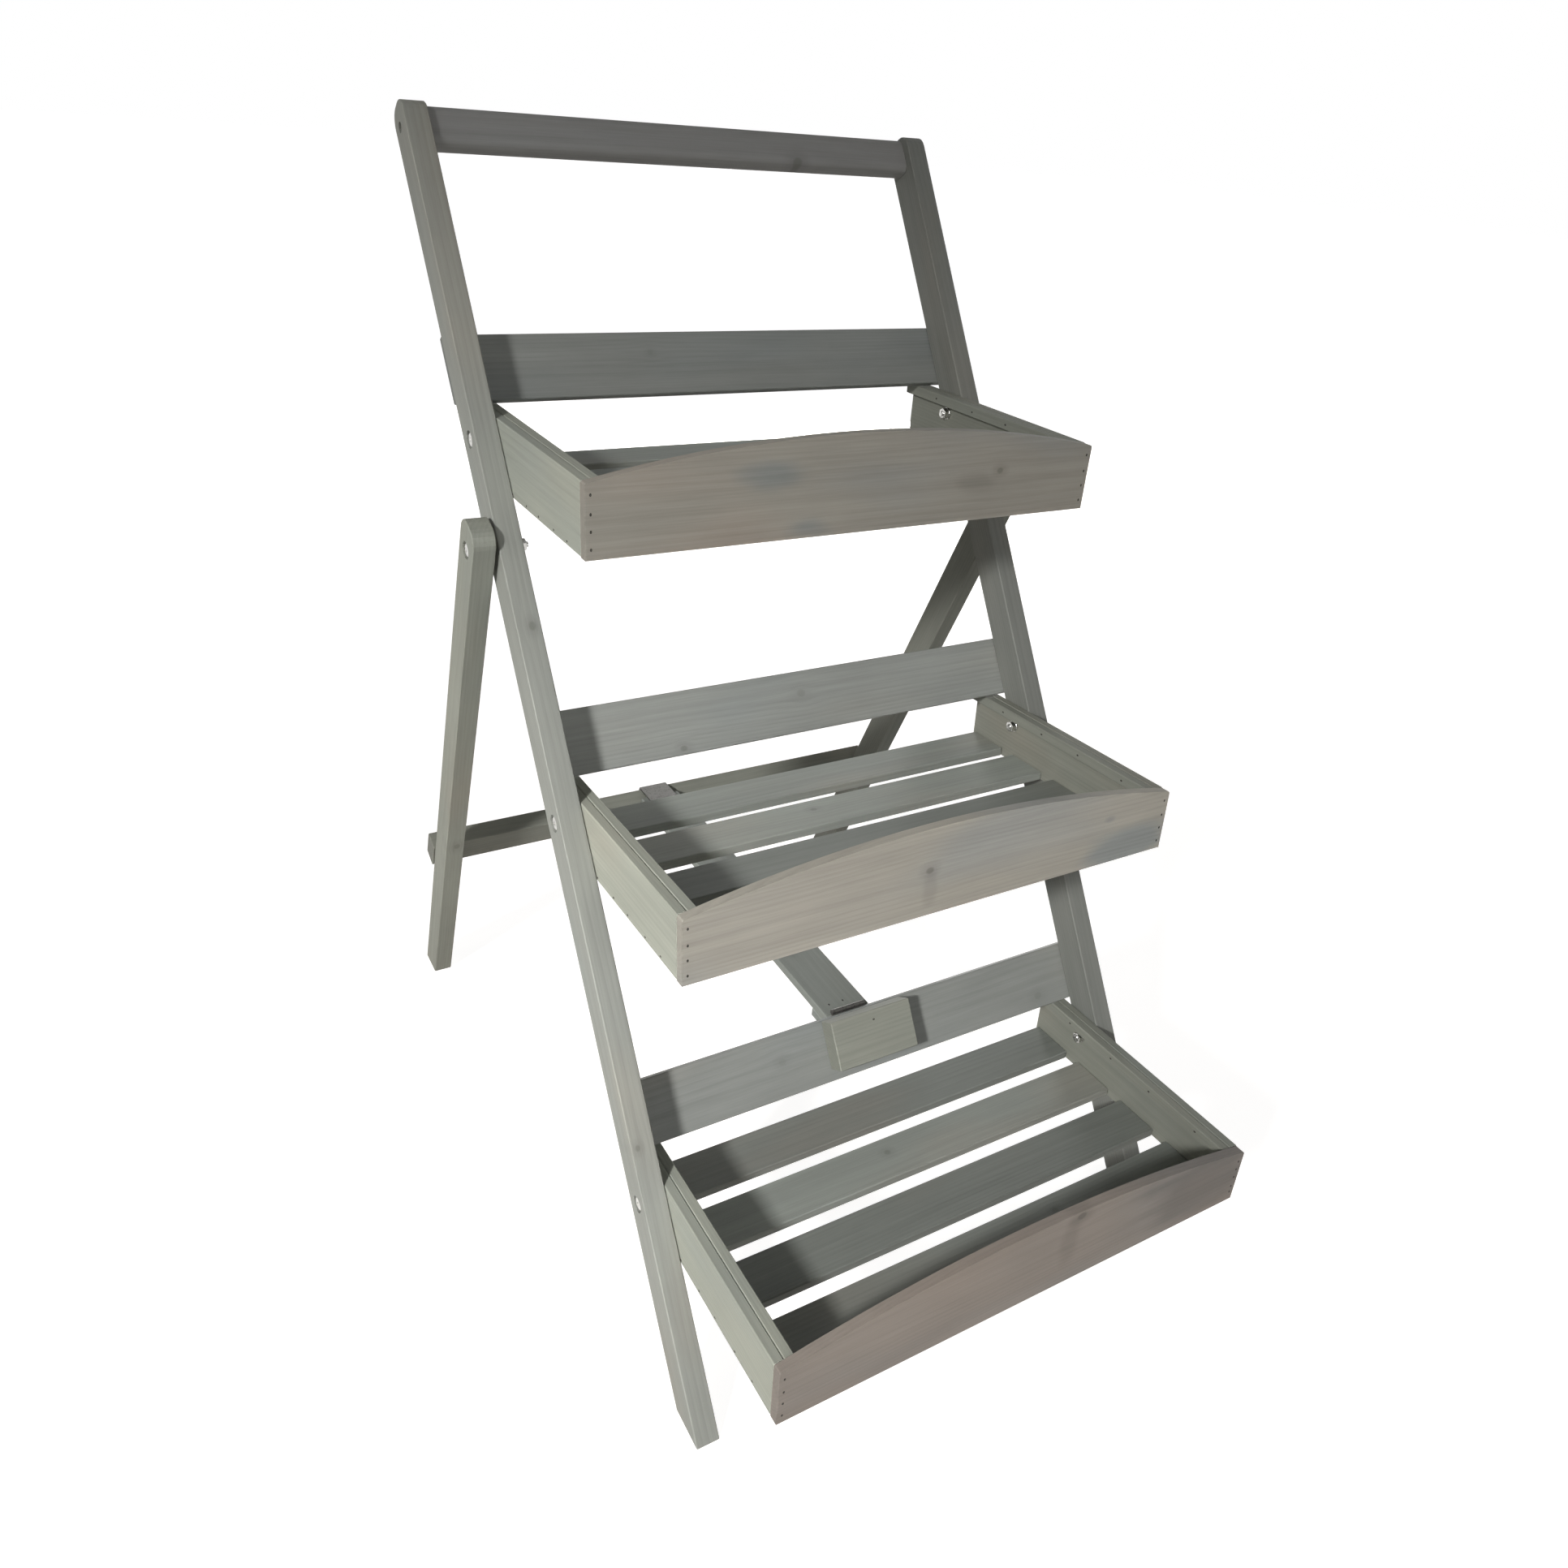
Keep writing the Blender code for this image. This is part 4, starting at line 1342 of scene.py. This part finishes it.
@dataclass
class FrontFrame:
    """The leaning frame that carries all the rest: stiles, top rail, back boards and the stay's block.

    Attributes:
        frame: The frame that its pieces are square with.
        half_wide: Half the frame's width.
        stile_wide: The stiles' width.
        board_back: How far behind the stiles' middle the boards' rear faces are.
        board_middles: How far up the stiles the boards' middles are.
        board_nail_apart: Half the distance between a board's two nails at one end.
        block_nail: Where the nail in the block's face is.
        screw_seat: How far from the middle the rail's screws sit.
        stiles_differ: How much lighter the left stile is, and how much darker the right one: painted light
            from the left, falling off to the right.
        block_tint: How light the block's wood is.
        seed: The first of the seeds for the pieces' grain.
        body: The body that carries it.
    """

    frame: JoinersFrame = JoinersFrame((0.0, -323.015 * MM, 0.0), -33.7)
    half_wide: float = 272.5 * MM
    stile_wide: float = 22.0 * MM
    board_back: float = 26.8 * MM
    board_middles: dict[str, float] = field(
        default_factory=lambda: {"bottom": 272.7 * MM, "middle": 612.4 * MM, "top": 956.1 * MM}
    )
    board_nail_apart: float = 17.0 * MM
    block_nail: Place = (-4.0 * MM, -2.5 * MM, 292.8 * MM)
    screw_seat: float = 268.5 * MM
    stiles_differ: float = 0.21
    block_tint: float = 0.76
    seed: float = 41.0
    body: str = "front_frame"

    def dress(self, woods: Woods) -> None:
        """Gives the stiles, the rail, the boards and the block their wood.

        Args:
            woods: The finishes of the wood.
        """
        for index, side in enumerate(Side):
            knots = (
                Knot(0.13 - 0.3 * index, 3 * MM, 7 * MM, 0.3),
                Knot(-0.33 + 0.2 * index, -5 * MM, 5 * MM, 0.3),
            )
            # Painted light: the left stile lighter and the right one darker, as the light falls from the
            # left.
            Timber(
                side.word + "_stile", self.frame, Cut.UPRIGHT, woods.stile, self.seed + 3 * index,
                side.share(self.stiles_differ), knots,
            ).dress()
        rail = TopRail().build(self.frame, self.body)
        knots = (Knot(0.117, -15 * MM, 9 * MM, 0.35),)
        Timber(
            "top_rail", self.frame, Cut.BOARD_ON_EDGE, woods.rail, self.seed + 6, 1.0, knots
        ).dress(rail)
        # Painted light: the middle board is lighter and the top board darker, as the light is strongest at
        # mid height and falls off towards the top.
        boards = {
            "bottom": (0.98, (Knot(-0.10, 4 * MM, 7 * MM, 0.12), Knot(0.21, -17 * MM, 8 * MM, 0.18))),
            "middle": (1.16, (Knot(0.005, 8 * MM, 8 * MM, 0.16), Knot(-0.13, -24 * MM, 6 * MM, 0.30))),
            "top": (0.94, (Knot(-0.075, 10 * MM, 5 * MM, 0.12),)),
        }
        for index, (tier, (tint, knots)) in enumerate(boards.items()):
            Timber(
                tier + "_back_board", self.frame, Cut.BOARD_ON_EDGE, woods.board, self.seed + 11 + index,
                tint, knots,
            ).dress()
        Timber(
            "stay_block", self.frame, Cut.BOARD_ON_EDGE, woods.side, self.seed + 16, self.block_tint
        ).dress()
        LOG.info("front frame: wood on its stiles, rail, boards and block")

    def fasten(self, fastenings: Fastenings) -> None:
        """Adds the bolts, nuts, screws and nails of the front frame.

        Args:
            fastenings: What makes them.
        """
        for side in Side:
            for name in (*(f"{tier}_{side.word}" for tier in self.board_middles), side.word + "_leg"):
                fastenings.bolt(name + "_bolt", side, self.body)
                fastenings.nut(name + "_nut", side, self.body)
            coat(bpy.data.objects[side.word + "_leg_spacer"], fastenings.dull)
            at = (side.value * self.screw_seat, *TopRail.place[1:])
            fastenings.screw(f"{side.word}_rail_screw", self.frame, at, (side.value, 0, 0), self.body)
        spots = []
        aside = self.half_wide - self.stile_wide / 2
        for middle in self.board_middles.values():
            for side in Side:
                for apart in (-self.board_nail_apart, self.board_nail_apart):
                    at = (side.value * aside, self.board_back, middle + apart)
                    spots.append((at, (0, 1, 0)))
        fastenings.nails("back_board_nails", self.frame, spots, (0, 0, 1), self.body)
        spots = [(self.block_nail, (0, -1, 0))]
        fastenings.nails("stay_block_nails", self.frame, spots, (1, 0, 0), self.body)
        coat(bpy.data.objects["hinge_board_leaf"], fastenings.dull)
        LOG.info("front frame: bolts, nuts, screws and nails")


@dataclass
class RearFrame:
    """The two rear legs and their crossbar, which fold forward on the leg bolts.

    Attributes:
        frame: The frame that its pieces are square with.
        leg_middle: How far from the middle the legs' middles are.
        bar_back: How far behind the legs' middle the bar's rear face is.
        bar_middle: How high the bar's middle is from the bolts.
        screw_apart: Half the distance between the two screws at one end of the bar.
        screw_sunk: How far the screws are sunk into the bar.
        legs_differ: How much lighter the left leg is, and how much darker the right one: painted light from
            the left, falling off to the right.
        bar_tint: How light the bar's wood is.
        seed: The first of the seeds for the pieces' grain.
        body: The body that carries it.
    """

    frame: JoinersFrame = JoinersFrame((0.0, 115.312 * MM, 657.244 * MM), 23.9)
    leg_middle: float = 286.25 * MM
    bar_back: float = 39.8 * MM
    bar_middle: float = -495.0 * MM
    screw_apart: float = 8.5 * MM
    screw_sunk: float = 0.9 * MM
    legs_differ: float = 0.20
    bar_tint: float = 0.90
    seed: float = 61.0
    body: str = "rear_frame"

    def dress(self, woods: Woods) -> None:
        """Gives the legs and the crossbar their wood.

        Args:
            woods: The finishes of the wood.
        """
        for index, side in enumerate(Side):
            knots = (Knot(-0.08 + 0.17 * index, 2 * MM, 8 * MM, 0.3),)
            # Painted light: the left leg lighter and the right one darker, as the light falls from the left.
            Timber(
                side.word + "_rear_leg", self.frame, Cut.UPRIGHT, woods.leg, self.seed + 2 * index,
                side.share(self.legs_differ), knots,
            ).dress()
        Timber(
            "rear_crossbar", self.frame, Cut.BOARD_ON_EDGE, woods.leg, self.seed + 4, self.bar_tint
        ).dress()
        LOG.info("rear frame: wood on its legs and crossbar")

    def fasten(self, fastenings: Fastenings) -> None:
        """Adds the screws that hold the crossbar to the legs.

        Args:
            fastenings: What makes the screws.
        """
        for side in Side:
            for word, apart in (("upper", self.screw_apart), ("lower", -self.screw_apart)):
                at = (side.value * self.leg_middle, self.bar_back - self.screw_sunk, self.bar_middle + apart)
                fastenings.screw(f"{side.word}_{word}_bar_screw", self.frame, at, (0, 1, 0), self.body)
        LOG.info("rear frame: screws")


@dataclass
class StayArm:
    """The lath whose steel hook drops over the crossbar to hold the rear legs open.

    Attributes:
        frame: The frame that its pieces are square with.
        top: The height of the lath's top face from the hinge.
        plate: The height of the steel hook's top face from the hinge.
        aside: How far its middle is from the stand's middle.
        pad_nails: How far along the lath the nails into its pad are.
        nails_aside: How far those nails are from its middle.
        hook_screws: How far along the lath the hook's screws are.
        screws_apart: Half the distance between those screws.
        tint: How light the lath's wood is.
        seed: The first of the seeds for the pieces' grain.
        body: The body that carries it.
    """

    frame: JoinersFrame = JoinersFrame((0.0, -129.945 * MM, 238.129 * MM), 0.1788)
    top: float = -2.8 * MM
    plate: float = -0.5 * MM
    aside: float = -13.0 * MM
    pad_nails: float = 14.0 * MM
    nails_aside: Span = (-13.0 * MM, 3.0 * MM)
    hook_screws: float = 438.0 * MM
    screws_apart: float = 10.0 * MM
    tint: float = 0.80
    seed: float = 71.0
    body: str = "stay_arm"

    def dress(self, woods: Woods) -> None:
        """Gives the lath and its pad their wood.

        Args:
            woods: The finishes of the wood.
        """
        knots = (Knot(-0.12, 9 * MM, 7 * MM, 0.3),)
        Timber("stay", self.frame, Cut.LATH_LAID_FLAT, woods.slat, self.seed, self.tint, knots).dress()
        Timber("stay_pad", self.frame, Cut.SLAT_LAID_FLAT, woods.slat, self.seed + 2).dress()
        LOG.info("stay: wood on its lath and pad")

    def fasten(self, fastenings: Fastenings) -> None:
        """Adds the nails through the lath into its pad, and the hook's screws.

        Args:
            fastenings: What makes the nails and screws.
        """
        spots = [((self.aside + off, self.pad_nails, self.top), (0, 0, 1)) for off in self.nails_aside]
        fastenings.nails("stay_nails", self.frame, spots, (0, 1, 0), self.body)
        for side in Side:
            at = (self.aside + side.value * self.screws_apart, self.hook_screws, self.plate)
            fastenings.screw(side.word + "_hook_screw", self.frame, at, (0, 0, 1), self.body)
        for node in ("hinge_stay_leaf", "stay_hook"):
            coat(bpy.data.objects[node], fastenings.dull)
        LOG.info("stay: nails, screws, hinge leaf and hook")


@dataclass(frozen=True)
class Lamp:
    """A soft square lamp.

    Attributes:
        name: The lamp's name.
        at: Where it hangs.
        aim: What it points at.
        wide: How wide it is.
        power: Its power in watts.
        colour: The colour of its light.
        spread_deg: How far its light spreads.
    """

    name: str
    at: Place
    aim: Place
    wide: float
    power: float
    colour: Colour = WHITE
    spread_deg: float = 180.0

    def hang(self) -> None:
        """Hangs the lamp in the scene."""
        data = bpy.data.lights.new(self.name, "AREA")
        data.size = self.wide
        data.energy = self.power
        data.color = self.colour
        data.spread = radians(self.spread_deg)
        lamp = bpy.data.objects.new(self.name, data)
        lamp.location = self.at
        ray = Vector(self.aim) - Vector(self.at)
        lamp.rotation_euler = ray.to_track_quat("-Z", "Y").to_euler()
        bpy.context.scene.collection.objects.link(lamp)


@dataclass
class Studio:
    """The pale floor, the soft lights and the camera.

    Attributes:
        camera_place: Where the camera stands.
        camera_look: Which way it looks.
        camera_up: Which way is up in its picture.
        focal_pixels: Its focal length in pixels of the photograph.
        centre_pixels: Where its axis meets the photograph.
        picture_pixels: The width and height of the photograph.
        sensor_wide: The width of its sensor in millimetres.
        clip: The nearest and the furthest that it sees.
        floor_wide: The floor's width.
        floor_down: How far below the stand's feet the floor is.
        floor_colour: The floor's own colour, which the lamps light.
        floor_glow: How bright the floor near the stand is for the camera, before its light and shadow.
        shadow_reach: How far out the floor still shows the stand's shadow.
        room_light: How much the pale room lights the stand.
        lamps: The lamps: a small bright one high on the left, and softer ones round the stand.
    """

    camera_place: Place = (-0.570648, -0.885760, 1.019391)
    camera_look: Place = (0.469703, 0.727216, -0.500536)
    camera_up: Place = (0.192878, 0.468742, 0.862020)
    focal_pixels: float = 1488.27
    centre_pixels: tuple[float, float] = (996.16, 979.09)
    picture_pixels: float = 1932.0
    sensor_wide: float = 36.0
    clip: Span = (0.05, 100.0)
    floor_wide: float = 40.0
    floor_down: float = 0.5 * MM
    floor_colour: Colour = (0.50, 0.47, 0.44)
    floor_glow: float = 0.87
    shadow_reach: float = 0.9
    room_light: float = 0.05
    lamps: Sequence[Lamp] = (
        Lamp("window", (-3.33, -2.0, 2.36), (-0.46, -0.22, 0.40), 0.42, 5.1, spread_deg=28.0),
        Lamp("left", (-1.25, 0.1, 0.95), (-0.25, 0.0, 0.5), 0.6, 1.6, (1.0, 0.97, 0.90)),
        Lamp("front", (-0.2, -2.8, 1.1), (0.0, 0.0, 0.45), 1.6, 20.5),
        Lamp("behind", (1.9, 3.0, 0.44), (0.0, 0.1, 0.5), 0.8, 85.0),
    )

    def camera(self) -> None:
        """Puts the camera where the photograph was taken from."""
        data = bpy.data.cameras.new("camera")
        data.sensor_width = self.sensor_wide
        data.lens = self.focal_pixels / self.picture_pixels * self.sensor_wide
        across, down = self.centre_pixels
        data.shift_x = -(across - self.picture_pixels / 2) / self.picture_pixels
        data.shift_y = (down - self.picture_pixels / 2) / self.picture_pixels
        data.clip_start, data.clip_end = self.clip
        camera = bpy.data.objects.new("camera", data)
        look = Vector(self.camera_look).normalized()
        up = Vector(self.camera_up)
        right = look.cross(up).normalized()
        turn = Matrix((right, right.cross(look), -look)).transposed()
        camera.matrix_world = Matrix.Translation(self.camera_place) @ turn.to_4x4()
        bpy.context.scene.collection.objects.link(camera)
        bpy.context.scene.camera = camera

    @staticmethod
    def seen_rays(graph: ShaderGraph) -> bpy.types.NodeSocket:
        """Which rays see the background as white: the camera's, and those that gloss and glass send on.

        Args:
            graph: The graph to build in.

        Returns:
            1 for those rays and 0 for the ones that light the stand.
        """
        path = graph.node("LightPath")
        seen = graph.math("MAXIMUM", path.outputs["Is Camera Ray"], path.outputs["Is Glossy Ray"])
        return graph.math("MAXIMUM", seen, path.outputs["Is Transmission Ray"])

    def floor(self) -> None:
        """Lays a pale floor that the camera sees as white, apart from the stand's shadow."""
        shape = bmesh.new()
        bmesh.ops.create_grid(shape, x_segments=1, y_segments=1, size=self.floor_wide / 2)
        floor = bpy.data.objects.new("floor", new_mesh("floor", shape, smooth=False))
        floor.location.z = -self.floor_down
        bpy.context.scene.collection.objects.link(floor)
        material = bpy.data.materials.new("pale_floor")
        graph = ShaderGraph(material)
        away = graph.vector("LENGTH", graph.node("TexCoord").outputs["Object"], output="Value")
        glow = graph.ramp(away, self.shadow_reach, 2 * self.shadow_reach, self.floor_glow, 1.0)
        graph.surface({
            "Base Color": rgba(self.floor_colour),
            "Roughness": 0.9,
            "Specular IOR Level": 0.1,
            "Emission Color": rgba(WHITE),
            "Emission Strength": graph.math("MULTIPLY", self.seen_rays(graph), glow),
        })
        floor.data.materials.append(material)

    def room(self) -> None:
        """Puts a pale room round the stand, which the camera sees as white."""
        world = bpy.data.worlds.new("pale_room")
        graph = ShaderGraph(world)
        inputs = {"Value": self.seen_rays(graph), "To Min": self.room_light, "To Max": 1.0}
        strength = graph.node("MapRange", inputs).outputs["Result"]
        graph.surface({"Color": rgba(WHITE), "Strength": strength})
        bpy.context.scene.world = world

    def build(self) -> None:
        """Sets the whole studio up."""
        bpy.context.scene.view_settings.view_transform = "Standard"
        self.camera()
        self.floor()
        self.room()
        for lamp in self.lamps:
            lamp.hang()
        LOG.info("studio: camera, floor, room and lamps")


def main() -> None:
    """Builds the looks of the stand in order."""
    logging.basicConfig(level=logging.INFO, format="%(name)s: %(message)s")
    for old in list(bpy.data.objects):
        bpy.data.objects.remove(old, do_unlink=True)
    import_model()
    Studio().build()
    woods = Woods()
    fastenings = Fastenings()
    front_frame, rear_frame, stay_arm = FrontFrame(), RearFrame(), StayArm()
    # Painted light: the middle tray's front is lighter and the top tray darker, as the light is strongest at
    # mid height and falls off towards the top.
    trays = (
        Tray(
            "bottom", (0.0, -210.104 * MM, 169.303 * MM), 2.0, 1.0, 1.0, (0.72, 1.07, 0.75, 0.78),
            (Knot(0.044, 36 * MM, 9 * MM, 0.5),),
            (
                Blot(0.036, 12 * MM, 22 * MM, 60 * MM, 0.16),
                # Painted light and shade: this large dark patch at the right end and the pale one at the
                # left end make the bottom front darker towards the right, as the light falls off.
                Blot(0.215, 0.0, 190 * MM, 110 * MM, 0.30),
                Blot(-0.17, 6 * MM, 150 * MM, 60 * MM, -0.10),
            ),
            right_marks=(8.4 * MM, -1.6 * MM, -11.5 * MM, -23.2 * MM, -30.5 * MM),
        ),
        Tray(
            "middle", (0.0, -20.902 * MM, 452.999 * MM), 3.5, 1.0, 1.28, (1.10, 1.26, 0.80, 0.88),
            (Knot(-0.023, 2 * MM, 7 * MM, 0.42),),
            (
                Blot(-0.021, -14 * MM, 16 * MM, 40 * MM, 0.13),
                Blot(0.205, -32 * MM, 90 * MM, 52 * MM, 0.10, 0.7),
                Blot(0.178, 4 * MM, 16 * MM, 9 * MM, 0.14, 0.3),
            ),
        ),
        Tray(
            "top", (0.0, 168.3 * MM, 736.695 * MM), 0.5, 0.95, 0.95, (1.0, 1.08, 0.92, 1.0),
            (Knot(0.144, 1 * MM, 6 * MM, 0.4),),
            (
                Blot(0.118, -7 * MM, 48 * MM, 18 * MM, 0.16),
                Blot(-0.090, 14 * MM, 70 * MM, 34 * MM, 0.08, 0.6),
                Blot(-0.055, -32 * MM, 60 * MM, 26 * MM, 0.08, 0.6),
            ),
        ),
    )
    front_frame.dress(woods)
    front_frame.fasten(fastenings)
    rear_frame.dress(woods)
    rear_frame.fasten(fastenings)
    stay_arm.dress(woods)
    stay_arm.fasten(fastenings)
    # The lowest front takes the wood with more painted warm bounce light.
    fronts = (woods.pink_front, woods.front, woods.front)
    for tray, front_wood, seed in zip(trays, fronts, (1.0, 13.0, 25.0)):
        tray.dress(woods, front_wood, seed)
        tray.fasten(fastenings)


if __name__ == "__main__":
    main()
